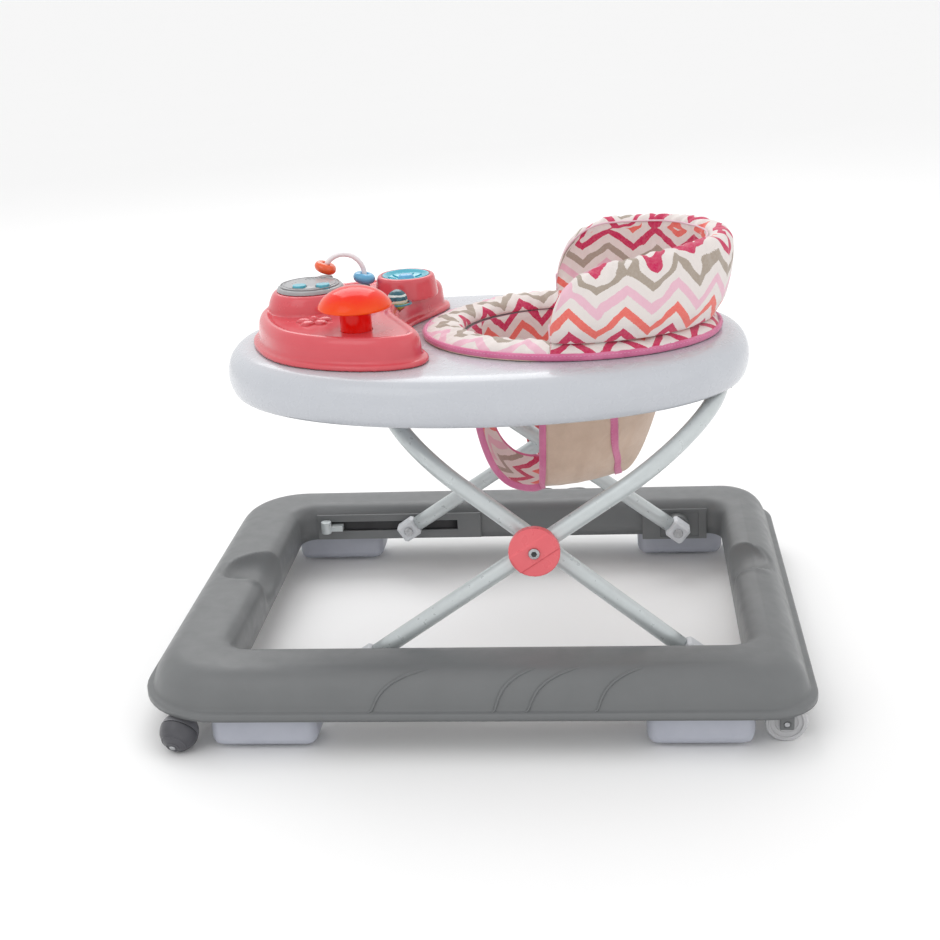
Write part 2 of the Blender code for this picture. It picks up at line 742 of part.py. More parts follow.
def build_tray(parent):
    """The moulded tray: seat hole with a turned-down lip, flat top and a deep rounded rim."""
    count = 36
    rings = [
        oval(HOLE_CENTRE_X, HOLE_HALF, TRAY_TOP_Z - 0.010, count),
        oval(HOLE_CENTRE_X, HOLE_HALF, TRAY_TOP_Z - 0.0025, count),
        oval(HOLE_CENTRE_X, (HOLE_HALF[0] + 0.003, HOLE_HALF[1] + 0.003), TRAY_TOP_Z, count),
    ]
    rim = (
        (0.030, TRAY_TOP_Z),
        (0.018, TRAY_TOP_Z - 0.0015),
        (0.008, TRAY_TOP_Z - 0.0075),
        (0.0015, TRAY_TOP_Z - 0.019),
        (0.0, 0.345),
        (0.006, TRAY_SKIRT_Z),
    )
    for inset, z in rim:
        half = (TRAY_HALF_LENGTH - inset, TRAY_HALF_WIDTH - inset)
        rings.append(oval(TRAY_CENTRE_X, half, z, count, TRAY_POWER))
    rings.reverse()
    tray = piece("tray_shell", lambda work: add_rings(work, rings), WHITE_PLASTIC, parent)
    solidify(tray, SHELL)


def build_rear_bracket(parent):
    """The block under the rear of the tray that the front leg's crossbar turns in."""

    low = (REAR_BAR.x - 0.015, -0.024, REAR_BAR.z - 0.0135)
    high = (REAR_BAR.x + 0.0145, 0.024, TRAY_UNDER_Z - GAP)

    def block(work):
        for vert in add_box(work, low, high):
            if vert.co.z > REAR_BAR.z and vert.co.x > REAR_BAR.x:
                vert.co.z -= 0.004

    bracket = piece("rear_bar_bracket", block, WHITE_PLASTIC, parent)
    hole(bracket, (REAR_BAR.x, -0.05, REAR_BAR.z), (REAR_BAR.x, 0.05, REAR_BAR.z), TUBE_RADIUS + 0.0006, 20)


def build_slide_rail(side, sign, parent):
    """One of two slotted plates under the front of the tray that hold the rear leg's sliding crossbar."""
    y = ordered(sign * 0.0165, sign * 0.0225)

    def plate(work):
        add_box(work, (-0.205, y[0], FRONT_BAR.z - 0.0165), (-0.042, y[1], TRAY_UNDER_Z - GAP))

    def slot(work):
        add_box(
            work,
            (-0.1965, y[0] - 0.01, FRONT_BAR.z - TUBE_RADIUS - 0.0032),
            (-0.051, y[1] + 0.01, FRONT_BAR.z + TUBE_RADIUS + 0.0045),
        )

    rail = piece(side_name("front_slide_rail", side), plate, WHITE_PLASTIC, parent)
    boolean(rail, cutter(side_name("rail_slot", side), slot))


# ---------------------------------------------------------------- seat


def build_seat_ring(parent):
    """The low padded ring round the seat hole."""
    section = ((0.0, 0.0), (1.0, 0.0), (1.0, 0.45), (0.82, 0.9), (0.5, 1.0), (0.18, 0.9), (0.0, 0.45))
    count = 32
    rings = []
    for across, up in section:
        half = [inner + across * (outer - inner) for outer, inner in zip(RING_OUTER, RING_INNER)]
        rings.append(oval(HOLE_CENTRE_X, half, RING_BASE_Z + up * RING_HEIGHT, count))
    piece("seat_ring", lambda work: add_rings(work, rings, closed=True), SEAT_FABRIC, parent)


def back_height(x):
    """Top edge of the backrest: it springs up at the wings and runs nearly level round the back."""
    wing_front, wing_full = 0.088, 0.165
    if x < wing_full:
        share = max(0.0, (x - wing_front) / (wing_full - wing_front))
        return 0.403 + 0.080 * math.sqrt(max(0.0, 1 - (1 - share) ** 2))
    return 0.483 + 0.007 * math.sin(min(1.0, (x - wing_full) / 0.10) * math.pi / 2)


def build_backrest(parent):
    """The padded horseshoe that rises round the rear of the seat."""
    low_z = RING_BASE_Z + RING_HEIGHT + 0.0008
    stations = 22
    section = (
        (0.0, 0.0),
        (0.0, 0.45),
        (0.0, 0.86),
        (0.22, 0.97),
        (0.5, 1.0),
        (0.78, 0.97),
        (1.0, 0.86),
        (1.0, 0.45),
        (1.0, 0.0),
    )
    rings = []
    for i in range(stations + 1):
        angle = BACK_SWEEP * (2 * i / stations - 1)
        wing = min(1.0, (BACK_SWEEP - abs(angle)) / math.radians(14))
        thickness = BACK_THICKNESS * (0.45 + 0.55 * math.sqrt(wing * (2 - wing)))
        outward = Vector((math.cos(angle), math.sin(angle), 0.0))
        reach = Vector((RING_OUTER[0] * outward.x, RING_OUTER[1] * outward.y, 0.0))
        foot = Vector((HOLE_CENTRE_X, 0.0, 0.0)) + reach
        height = back_height(foot.x) - low_z
        middle = BACK_THICKNESS / 2 + 0.002
        ring = []
        for across, up in section:
            inset = middle + (across - 0.5) * thickness - BACK_FLARE * up * height / 0.1
            inset -= BACK_BULGE * math.sin(math.pi * up) * height / 0.1
            ring.append(foot - outward * inset + Vector((0, 0, low_z + up * height)))
        rings.append(ring)
    piece(
        "seat_backrest",
        lambda work: add_rings(work, rings, cap_first=True, cap_last=True),
        SEAT_FABRIC,
        parent,
    )


def sling_point(angle, share):
    """A point of the seat bucket: share 0 is the rim, 1 the keel line under the seat."""
    sweep = math.acos((SLING_FRONT_X - HOLE_CENTRE_X) / SLING_RIM[0])
    forward = angle / sweep
    rim_x = HOLE_CENTRE_X + SLING_RIM[0] * math.cos(angle)
    rim = Vector((rim_x, SLING_RIM[1] * math.sin(angle), SLING_RIM_Z))
    rear_x, rear_z = SLING_REAR
    keel_x = rear_x + (SLING_FRONT_X - rear_x) * forward
    keel = Vector((keel_x, 0.0, rear_z + (SLING_KEEL_Z - rear_z) * forward))
    turn = share * math.pi / 2
    x = rim.x + (keel.x - rim.x) * share
    y = rim.y * math.cos(turn) ** 0.62
    z = rim.z + (keel.z - rim.z) * math.sin(turn) ** (0.9 + 0.25 * (1 - forward))
    return Vector((x, y, z))


def build_sling(parent):
    """The fabric seat: a bucket, a front strap, and a band that joins them above the two leg openings."""
    around, down = 10, 9
    hole_top, hole_foot = 2, 7
    sweep = math.acos((SLING_FRONT_X - HOLE_CENTRE_X) / SLING_RIM[0])
    strap_line = ((0.050, 0.201), (0.030, 0.210), (0.013, 0.2315))
    strap_line += ((0.001, 0.268), (-0.005, 0.312), (-0.0075, 0.343), (-0.009, 0.3765))

    def rim(angle):
        x = HOLE_CENTRE_X + SLING_RIM[0] * math.cos(angle)
        return Vector((x, SLING_RIM[1] * math.sin(angle), 0.0))

    def bucket(work):
        grid = {}
        for side in (-1, 1):
            for i in range(around + 1):
                for j in range(down + 1):
                    if (i == 0 or j == down) and side == 1:
                        grid[side, i, j] = grid[-1, i, j]
                        continue
                    point = sling_point(sweep * i / around, j / down)
                    point.y *= side
                    if i == 0 or j == down:
                        point.y = 0.0
                    grid[side, i, j] = work.verts.new(point)
            for i in range(around):
                for j in range(down):
                    corners = ((i, j), (i + 1, j), (i + 1, j + 1), (i, j + 1))
                    quad = [grid[side, a, b] for a, b in corners]
                    work.faces.new(quad if side == 1 else list(reversed(quad)))
        edge = [grid[-1, around, j] for j in range(hole_foot, down + 1)]
        edge += [grid[1, around, j] for j in range(down - 1, hole_foot - 1, -1)]
        rows = []
        shares = [vert.co.y / abs(edge[0].co.y) for vert in edge]
        dish = [vert.co.z - SLING_KEEL_Z for vert in edge]
        for k, (x, z) in enumerate(strap_line):
            fade = 1 - (k + 1) / len(strap_line)
            half = STRAP_HALF * (0.86 + 0.14 * fade)
            row = []
            for share, rise in zip(shares, dish):
                bow = SLING_RIM[0] * (1 - math.sqrt(1 - (half * share / SLING_RIM[1]) ** 2))
                row.append(work.verts.new((x + bow * (1 - fade), half * share, z + rise * fade)))
            for m in range(len(row) - 1):
                work.faces.new((edge[m], edge[m + 1], row[m + 1], row[m]))
            rows.append(row)
            edge = row
        for side, end in ((-1, 0), (1, -1)):
            near = [grid[side, around, j] for j in range(hole_top + 1)]
            far = [rows[-1 - j][end] for j in range(hole_top + 1)]
            last = math.acos((far[0].co.x - HOLE_CENTRE_X) / SLING_RIM[0])
            column = near
            for m in (1, 2, 3):
                share = m / 3
                if m == 3:
                    following = far
                else:
                    following = []
                    for a, b in zip(near, far):
                        point = rim(side * (sweep + (last - sweep) * share))
                        point += (a.co - rim(side * sweep)) * (1 - share) + (b.co - rim(side * last)) * share
                        following.append(work.verts.new(point))
                for j in range(hole_top):
                    quad = [column[j], column[j + 1], following[j + 1], following[j]]
                    work.faces.new(quad if side == -1 else list(reversed(quad)))
                column = following

    sling = piece("seat_sling", bucket, SLING_FABRIC, parent)
    solidify(sling, 0.0025)


# ---------------------------------------------------------------- toy panel


def smooth_loop(points, per_span):
    """A closed Catmull-Rom curve through points."""
    ring = []
    count = len(points)
    for i in range(count):
        a, b, c, d = (points[(i + k) % count] for k in (-1, 0, 1, 2))
        for j in range(per_span):
            t = j / per_span
            curved = (2 * a - 5 * b + 4 * c - d) * t**2 + (3 * b - a - 3 * c + d) * t**3
            ring.append(0.5 * (2 * b + (c - a) * t + curved))
    return ring


def panel_outline():
    """The bean-shaped outline of the toy panel, anticlockwise from above."""
    half = [
        Vector((-0.252, 0.0)),
        Vector((-0.236, -0.063)),
        Vector((-0.201, -0.115)),
        Vector((-0.147, -0.146)),
        Vector((-0.088, -0.156)),
        Vector((-0.049, -0.143)),
        Vector((-0.039, -0.112)),
        Vector((-0.056, -0.068)),
        Vector((-0.073, -0.030)),
    ]
    other = [Vector((p.x, -p.y)) for p in reversed(half[1:])]
    middle = [Vector((-0.077, 0.0))]
    return smooth_loop(half + middle + other, 2)


def inset_ring(outline, inset, z):
    ring = []
    for i, point in enumerate(outline):
        tangent = (outline[(i + 1) % len(outline)] - outline[i - 1]).normalized()
        inward = Vector((-tangent.y, tangent.x))
        ring.append(Vector((*(point + inset * inward), z)))
    return ring


def build_toy_panel(parent):
    """The moulded toy panel: a flange, a rounded wall and a sunk flat, with raised seats for the toys."""
    outline = panel_outline()
    steps = (
        (0.0, PANEL_BASE_Z),
        (0.0, PANEL_BASE_Z + 0.004),
        (0.0015, PANEL_BASE_Z + 0.0055),
        (0.0065, PANEL_BASE_Z + 0.0065),
        (0.0078, PANEL_BASE_Z + 0.024),
        (0.0105, PANEL_TOP_Z - 0.0035),
        (0.0155, PANEL_TOP_Z),
        (0.0215, PANEL_FLAT_Z),
    )
    rings = [inset_ring(outline, inset, z) for inset, z in steps]
    panel = piece("toy_panel", lambda work: add_rings(work, rings, cap_last=True), CORAL_PLASTIC, parent)
    solidify(panel, 0.0025)

    def hill(place, profile):
        """A raised round seat with rounded flanks: profile holds (radius, z) from its foot up."""
        centre = Matrix.Translation((*place, 0.0))

        def rise(work):
            rings = [[centre @ point for point in oval(0.0, (r, r), z, 24)] for r, z in profile]
            add_rings(work, rings, cap_first=True, cap_last=True)

        return rise

    low = PANEL_FLAT_Z - 0.0015
    pod_seat = hill(POD_XY, ((0.0495, low), (0.0475, 0.4185), (0.0440, 0.4260), (0.0402, 0.4290)))
    boolean(panel, cutter("pod_seat", pod_seat), "UNION")
    dish_seat = hill(DIAL_XY, ((0.0370, low), (0.0350, 0.4200), (0.0335, 0.4280), (0.0320, DISH_RIM_Z)))
    boolean(panel, cutter("dish_seat", dish_seat), "UNION")

    def wire_seat(work):
        x, y = ARCH_CENTRE.x - ARCH_RADIUS, ARCH_CENTRE.y
        add_cylinder(work, (x, y, low), (x, y, POD_BASE_Z - 0.0006), 0.0118, 16, 0.0106)

    boolean(panel, cutter("wire_seat", wire_seat), "UNION")

    def dish_well(work):
        ends = [(*DIAL_XY, DISH_RIM_Z + height) for height in (-0.0075, 0.002)]
        add_cylinder(work, *ends, 0.0272, 24, 0.0292)

    boolean(panel, cutter("dish_well", dish_well))
    hole(panel, (*KNOB_XY, low - 0.005), (*KNOB_XY, PANEL_TOP_Z + 0.01), 0.0178, 20)
    hole(panel, ROLLER - Vector((0, 0, 0.012)), ROLLER + Vector((0, 0, 0.012)), 0.0128, 20)


def build_knob(parent):
    """The mushroom-shaped push knob."""
    profile = [
        (0.0, 0.0455),
        (0.012, 0.0445),
        (0.024, 0.0410),
        (0.034, 0.0345),
        (0.040, 0.0245),
        (0.038, 0.0220),
        (0.0172, 0.0195),
        (0.0172, -0.011),
        (0.0, -0.011),
    ]
    turned("push_knob", profile, (*KNOB_XY, PANEL_TOP_Z - 0.001), (0, 0, 1), ORANGE_PLASTIC, parent, 20)


def build_pod(parent, buttons):
    """The round music pod and its push buttons."""
    profile = [(0.0, 0.0078), (0.020, 0.0075), (0.031, 0.0062), (0.0372, 0.0035), (0.0385, 0.0), (0.0, 0.0)]
    pod = turned("music_pod", profile, (*POD_XY, POD_BASE_Z), (0, 0, 1), POD_PLASTIC, parent, 24)
    for number, (place, body) in enumerate(buttons, 1):
        x, y, _ = place
        hole(pod, (x, y, POD_BASE_Z + 0.0012), (x, y, 0.45), 0.0083, 16)
        name = f"music_button_{number}"
        ends = [(x, y, POD_BASE_Z + height) for height in (0.0036, 0.0092)]
        cylinder_piece(name, *ends, 0.0078, CYAN_PLASTIC, body, 16)


def arch_point(angle):
    return ARCH_CENTRE + ARCH_RADIUS * Vector((math.cos(angle), 0.0, math.sin(angle)))


def build_arch(parent, beads):
    """The bead wire on its two feet, and the beads that slide along it."""
    first, last = math.radians(176), math.radians(-29)
    feet = (
        ("bead_foot_front", first, POD_BASE_Z + 0.0002, 0.0034, POD_PLASTIC),
        ("bead_foot_rear", last, PANEL_FLAT_Z + 0.0004, 0.0021, PLUM_PLASTIC),
    )
    for name, angle, low, drop, finish in feet:
        x, high = arch_point(angle).x, arch_point(angle).z - drop
        ends = ((x, ARCH_CENTRE.y, low), (x, ARCH_CENTRE.y, high))
        piece(name, lambda work, ends=ends: add_cylinder(work, *ends, 0.0100, 16, 0.0086), finish, parent)

    steps = 14
    points = [arch_point(first + (last - first) * i / steps) for i in range(steps + 1)]
    curve = bpy.data.curves.new("bead_arch", "CURVE")
    curve.dimensions = "3D"
    curve.bevel_depth = 0.003
    curve.bevel_resolution = 2
    curve.use_fill_caps = True
    spline = curve.splines.new("POLY")
    spline.points.add(len(points) - 1)
    for target, point in zip(spline.points, points):
        target.co = (*(point - parent.location), 1.0)
    curve.materials.append(WHITE_PLASTIC)
    arch = bpy.data.objects.new("bead_arch", curve)
    arch.location = parent.location
    WALKER.objects.link(arch)
    attach(arch, parent)

    profile = [(0.0052, 0.0055), (0.0092, 0.0055), (0.0122, 0.0030), (0.013, 0.0)]
    profile += [(radius, -height) for radius, height in reversed(profile[:-1])]
    profile.append(profile[0])
    for name, angle, finish, body in beads:
        axis = (-math.sin(angle), 0.0, math.cos(angle))
        turned(name, profile, arch_point(angle), axis, finish, body, 16)


def build_dish(parent, body):
    """The cyan dish in its round seat, and the small dial that turns in the middle of it."""
    profile = [
        (0.0, 0.0016),
        (0.0125, 0.0018),
        (0.0200, 0.0032),
        (0.0255, 0.0070),
        (0.0275, 0.0070),
        (0.0266, 0.0002),
        (0.0, 0.0),
    ]
    low = DISH_RIM_Z - 0.0071
    turned("toy_dish", profile, (*DIAL_XY, low), (0, 0, 1), CYAN_PLASTIC, parent, 24)
    dial = [(0.0, 0.0052), (0.0060, 0.0050), (0.0085, 0.0034), (0.0095, 0.0), (0.0, 0.0)]
    turned("click_dial", dial, (*DIAL_XY, low + 0.0022), (0, 0, 1), BLUE_PLASTIC, body, 16)


def build_roller(body):
    """The ball that rolls in its round well."""

    def ball(work):
        place = Matrix.Translation(ROLLER)
        bmesh.ops.create_uvsphere(work, u_segments=14, v_segments=8, radius=0.0118, matrix=place)

    piece("roller_ball", ball, WHITE_PLASTIC, body)


# ---------------------------------------------------------------- assembly


def build_walker():
    build_base()
    for side, sign in SIDES:
        build_guide(side, sign)
        build_pivot_plate(side, sign)
        build_brake_pad(side_name("brake_pad_front", side), (-0.276, -0.1615), sign)
        build_brake_pad(side_name("brake_pad_rear", side), (0.183, 0.294), sign)
        build_castor(side, sign)
        build_rear_wheel(side, sign)
        build_slot_stop(side, sign)

    rear_leg = pivot("rear_leg", REAR_PIVOT)
    front_leg = pivot("front_leg", HUB)
    attach(front_leg, rear_leg)
    tray = pivot("tray", REAR_BAR)
    attach(tray, front_leg)
    build_rear_leg(rear_leg)
    build_front_leg(front_leg)

    build_tray(tray)
    build_rear_bracket(tray)
    for side, sign in SIDES:
        build_slide_rail(side, sign, tray)
    build_seat_ring(tray)
    build_backrest(tray)
    build_sling(tray)

    build_toy_panel(tray)
    knob = pivot("push_knob", Vector((*KNOB_XY, PANEL_TOP_Z)))
    dial = pivot("click_dial", Vector((*DIAL_XY, DISH_RIM_Z)))
    roller = pivot("roller_ball", ROLLER)
    bead_red = pivot("bead_red", ARCH_CENTRE)
    bead_blue = pivot("bead_blue", ARCH_CENTRE)
    offsets = ((-0.008, -0.0205), (0.0185, -0.0185))
    places = [Vector((POD_XY[0] + x, POD_XY[1] + y, POD_BASE_Z + 0.006)) for x, y in offsets]
    buttons = [(place, pivot(f"button_{number}", place)) for number, place in enumerate(places, 1)]
    for body in (knob, dial, roller, bead_red, bead_blue, *(empty for _, empty in buttons)):
        attach(body, tray)
    build_knob(knob)
    build_pod(tray, buttons)
    build_arch(
        tray,
        (
            ("bead_red", RED_BEAD_ANGLE, ORANGE_PLASTIC, bead_red),
            ("bead_blue", BLUE_BEAD_ANGLE, BLUE_PLASTIC, bead_blue),
        ),
    )
    build_dish(tray, dial)
    build_roller(roller)


build_walker()
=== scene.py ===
"""Looks of the baby walker: moulded plastics, painted tubes, and a padded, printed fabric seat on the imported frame."""

import math

import bmesh
import bpy
import numpy as np
from mathutils import Matrix, Vector, noise
from mathutils.bvhtree import BVHTree


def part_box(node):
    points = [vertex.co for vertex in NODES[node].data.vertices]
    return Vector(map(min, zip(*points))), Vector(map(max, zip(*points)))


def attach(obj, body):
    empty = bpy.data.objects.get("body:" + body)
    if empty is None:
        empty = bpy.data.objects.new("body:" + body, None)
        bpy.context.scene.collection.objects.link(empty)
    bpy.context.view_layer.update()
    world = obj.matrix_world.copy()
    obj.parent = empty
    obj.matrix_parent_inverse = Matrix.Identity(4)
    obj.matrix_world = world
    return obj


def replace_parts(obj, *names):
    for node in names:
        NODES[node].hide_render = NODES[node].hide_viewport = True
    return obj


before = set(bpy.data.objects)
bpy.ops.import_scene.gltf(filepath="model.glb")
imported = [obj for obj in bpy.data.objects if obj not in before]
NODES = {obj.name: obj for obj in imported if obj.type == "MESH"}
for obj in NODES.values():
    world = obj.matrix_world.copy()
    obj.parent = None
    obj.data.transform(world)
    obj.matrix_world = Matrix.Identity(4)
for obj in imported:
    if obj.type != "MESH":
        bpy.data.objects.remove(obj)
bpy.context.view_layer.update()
SIDES = (("left", -1.0), ("right", 1.0))
UP = Vector((0, 0, 1))

# x and y of the toys on the panel
KNOB_PLACE = (-0.118, -0.094)
BALL_PLACE = (-0.088, 0.018)
DISH_PLACE = (-0.084, 0.072)
POD_PLACE = (-0.187, 0.0155)
BEAD_FOOT_PLACE = (-0.1788, 0.066)
PANEL_FLAT = 0.4078

# ---------------------------------------------------------------- materials


def srgb(r, g, b):
    """A colour from 0-255 display values."""
    shares = [value / 255 for value in (r, g, b)]
    return tuple(s / 12.92 if s <= 0.04045 else ((s + 0.055) / 1.055) ** 2.4 for s in shares) + (1.0,)


class Finish:
    """A material being put together, with short ways to add and join its nodes."""

    def __init__(self, name, roughness=0.5, **sockets):
        self.material = bpy.data.materials.new(name)
        self.material.use_nodes = True
        self.tree = self.material.node_tree
        self.shader = self.tree.nodes["Principled BSDF"]
        self.shader.inputs["Roughness"].default_value = roughness
        for socket, value in sockets.items():
            self.shader.inputs[socket.replace("_", " ")].default_value = value
        self.place = self.node("TexCoord").outputs["Object"]

    def node(self, kind, **settings):
        made = self.tree.nodes.new("ShaderNode" + kind)
        for key, value in settings.items():
            setattr(made, key, value)
        return made

    def split(self, value):
        made = self.node("SeparateXYZ")
        self.feed(made.inputs[0], value)
        return made.outputs

    def feed(self, socket, value):
        if isinstance(value, bpy.types.NodeSocket):
            self.tree.links.new(value, socket)
        else:
            socket.default_value = value

    def math(self, operation, *values):
        made = self.node("Math", operation=operation)
        for socket, value in zip(made.inputs, values):
            self.feed(socket, value)
        return made.outputs[0]

    def noise(self, scale, detail=2.0, rough=0.5, place=None, distortion=0.0):
        made = self.node("TexNoise")
        self.feed(made.inputs["Vector"], place or self.place)
        made.inputs["Scale"].default_value = scale
        made.inputs["Detail"].default_value = detail
        made.inputs["Roughness"].default_value = rough
        made.inputs["Distortion"].default_value = distortion
        return made.outputs["Fac"]

    def spread(self, value, low, high, start=0.3, end=0.7):
        made = self.node("MapRange")
        self.feed(made.inputs["Value"], value)
        for socket, number in zip(("From Min", "From Max", "To Min", "To Max"), (start, end, low, high)):
            made.inputs[socket].default_value = number
        return made.outputs[0]

    def mix(self, share, first, second, blend="MIX"):
        made = self.node("Mix", data_type="RGBA", blend_type=blend)
        self.feed(made.inputs["Factor"], share)
        self.feed(made.inputs[6], first)
        self.feed(made.inputs[7], second)
        return made.outputs[2]

    def ramp(self, value, stops, interpolation="LINEAR"):
        made = self.node("ValToRGB")
        made.color_ramp.interpolation = interpolation
        elements = made.color_ramp.elements
        while len(elements) < len(stops):
            elements.new(0.5)
        for element, (position, colour) in zip(elements, stops):
            element.position = position
            element.color = colour
        self.feed(made.inputs["Fac"], value)
        return made.outputs["Color"]

    def colour(self, value):
        self.feed(self.shader.inputs["Base Color"], value)

    def rough(self, value):
        self.feed(self.shader.inputs["Roughness"], value)

    def bump(self, height, strength, distance, under=None):
        made = self.node("Bump")
        made.inputs["Strength"].default_value = strength
        made.inputs["Distance"].default_value = distance
        self.feed(made.inputs["Height"], height)
        if under is not None:
            self.feed(made.inputs["Normal"], under)
        self.feed(self.shader.inputs["Normal"], made.outputs["Normal"])
        return made.outputs["Normal"]


def moulded(name, colour, second, roughness, grain=(700.0, 0.12), wave=0.1, **sockets):
    """Moulded plastic: slight mottling and uneven gloss, with a fine skin and slow waviness unless grain is None."""
    finish = Finish(name, roughness, **sockets)
    mottle = finish.noise(22.0, 4.0, 0.6)
    finish.colour(finish.mix(finish.spread(mottle, 0.0, 1.0), srgb(*colour), srgb(*second)))
    finish.rough(finish.spread(finish.noise(60.0, 3.0), roughness - 0.05, roughness + 0.07))
    if grain:
        slow = finish.bump(finish.noise(35.0, 1.0), wave, 0.002)
        finish.bump(finish.noise(grain[0], 3.0), grain[1], 0.0006, slow)
    return finish.material


def painted(name, colour, second):
    """Powder-coated steel: orange-peel skin with faint scuffs."""
    finish = Finish(name, 0.32, Metallic=0.25, Coat_Weight=0.25, Coat_Roughness=0.2)
    scuffs = finish.noise(90.0, 5.0, 0.7)
    finish.colour(finish.mix(finish.spread(scuffs, 0.0, 1.0, 0.35, 0.8), srgb(*colour), srgb(*second)))
    finish.rough(finish.spread(finish.noise(140.0, 4.0), 0.26, 0.42))
    finish.bump(finish.noise(240.0, 2.0), 0.02, 0.0003)
    return finish.material


def plated(name):
    """Zinc-plated steel with turning marks."""
    finish = Finish(name, 0.3, Metallic=1.0)
    finish.colour(finish.mix(finish.noise(300.0, 3.0), srgb(150, 152, 155), srgb(205, 206, 208)))
    finish.rough(finish.spread(finish.noise(900.0, 2.0), 0.22, 0.42))
    finish.bump(finish.noise(1500.0, 2.0), 0.15, 0.0003)
    return finish.material


def glowing_orange(name, centre):
    """Tinted translucent plastic: deep red where it is thick, orange towards the thin edge."""
    finish = Finish(name, 0.16, Coat_Weight=0.12, Coat_Roughness=0.05)
    finish.shader.inputs["Specular IOR Level"].default_value = 0.25
    axes = finish.split(finish.place)
    x = finish.math("SUBTRACT", axes[0], centre[0])
    y = finish.math("SUBTRACT", axes[1], centre[1])
    reach = finish.math("SQRT", finish.math("ADD", finish.math("MULTIPLY", x, x), finish.math("MULTIPLY", y, y)))
    wobble = finish.math("ADD", reach, finish.spread(finish.noise(70.0), -0.002, 0.002))
    stops = ((0.0, srgb(224, 4, 0)), (0.42, srgb(230, 12, 0)), (0.72, srgb(236, 40, 2)), (1.0, srgb(238, 80, 14)))
    finish.colour(finish.ramp(finish.spread(wobble, 0.0, 1.0, 0.0, 0.042), stops))
    finish.rough(finish.spread(finish.noise(80.0), 0.09, 0.18))
    finish.bump(finish.noise(60.0, 1.0), 0.08, 0.002)
    return finish.material


def banded(name, reach, bands):
    """Glossy plastic in bands up the piece's own height."""
    finish = Finish(name, 0.16, Coat_Weight=0.4)
    height = finish.split(finish.place)[2]
    wobble = finish.math("ADD", height, finish.spread(finish.noise(120.0), -0.0006, 0.0006))
    stops = tuple((at, srgb(*colour)) for at, colour in bands)
    finish.colour(finish.ramp(finish.spread(wobble, 0.0, 1.0, *reach), stops, "CONSTANT"))
    finish.rough(finish.spread(finish.noise(200.0), 0.12, 0.22))
    finish.bump(finish.noise(300.0, 2.0), 0.04, 0.0006)
    return finish.material


ZIGZAG_PERIOD = 0.056
ZIGZAG_HEIGHT = 0.026
ROW_PITCH = 0.0247
ROW_START = 0.3667
VALLEY_AT = 0.095
INK_SHARE = 0.45
WHITE_CLOTH = srgb(234, 226, 222)
ROW_COLOURS = (srgb(204, 8, 84), srgb(240, 106, 94), srgb(237, 188, 205), srgb(170, 156, 142))


def weave(finish, along, across, pitch=0.0011):
    """Height of a plain weave from two lengths in metres."""
    turns = 2 * math.pi / pitch
    warp = finish.math("SINE", finish.math("MULTIPLY", along, turns))
    weft = finish.math("SINE", finish.math("MULTIPLY", across, turns))
    return finish.math("MULTIPLY_ADD", finish.math("MULTIPLY", warp, weft), 0.5, 0.5)


def printed_cotton(name):
    """White cotton printed with rows of zigzags, read from the cloth's own map in metres."""
    finish = Finish(name, 0.85, Sheen_Weight=0.25, Sheen_Roughness=0.5)
    marks = finish.node("UVMap", uv_map="cloth")
    along, across = finish.split(marks.outputs["UV"])[:2]
    ragged = finish.spread(finish.noise(900.0, 2.0), -0.0005, 0.0005)
    slack = finish.spread(finish.noise(28.0, 2.0), -0.0022, 0.0022)
    shifted = finish.math("ADD", finish.math("SUBTRACT", along, VALLEY_AT), slack)
    fold = finish.math("PINGPONG", shifted, ZIGZAG_PERIOD / 2)
    rise = finish.math("MULTIPLY", fold, 2 * ZIGZAG_HEIGHT / ZIGZAG_PERIOD)
    level = finish.math("SUBTRACT", finish.math("ADD", across, finish.math("ADD", ragged, slack)), rise)
    rows = finish.math("DIVIDE", finish.math("SUBTRACT", level, ROW_START), ROW_PITCH)
    number = finish.math("FLOOR", rows)
    within = finish.math("FRACT", rows)
    off_centre = finish.math("ABSOLUTE", finish.math("SUBTRACT", within, 0.5))
    inked = finish.math("LESS_THAN", off_centre, INK_SHARE / 2)
    colours = len(ROW_COLOURS)
    cycle = finish.math("FRACT", finish.math("DIVIDE", finish.math("ADD", number, 0.5), colours))
    stops = [(k / colours, colour) for k, colour in enumerate(ROW_COLOURS)]
    ink = finish.ramp(cycle, stops, "CONSTANT")
    fade = finish.spread(finish.noise(400.0, 3.0), 0.9, 1.0)
    cloth = finish.mix(finish.math("MULTIPLY", inked, fade), WHITE_CLOTH, ink)
    thread = weave(finish, along, across)
    shade = finish.math("MULTIPLY_ADD", thread, 0.10, 0.90)
    tone = finish.node("CombineXYZ")
    for socket in tone.inputs:
        finish.feed(socket, shade)
    finish.colour(finish.mix(1.0, cloth, tone.outputs[0], "MULTIPLY"))
    finish.rough(finish.spread(finish.noise(120.0), 0.78, 0.92))
    creases = finish.bump(finish.noise(75.0, 4.0, 0.55, distortion=0.6), 0.4, 0.003)
    finish.bump(thread, 0.35, 0.0004, creases)
    return finish.material


def plain_cloth(name, colour, second, sheen=0.2, pitch=0.0009, roughness=0.8, crease=0.3):
    """Woven cloth of one colour, with creases and slight shading between threads."""
    finish = Finish(name, roughness, Sheen_Weight=sheen, Sheen_Roughness=0.4)
    x, y, z = finish.split(finish.place)
    thread = weave(finish, finish.math("ADD", x, y), z, pitch)
    soil = finish.spread(finish.noise(26.0, 5.0, 0.6), 0.0, 1.0)
    cloth = finish.mix(soil, srgb(*colour), srgb(*second))
    finish.colour(finish.mix(finish.math("MULTIPLY", thread, 0.25), cloth, srgb(*second)))
    finish.rough(finish.spread(finish.noise(150.0), roughness - 0.08, roughness + 0.08))
    creases = finish.bump(finish.noise(55.0, 4.0, 0.6, distortion=0.8), crease, 0.004)
    finish.bump(thread, 0.3, 0.0003, creases)
    return finish.material


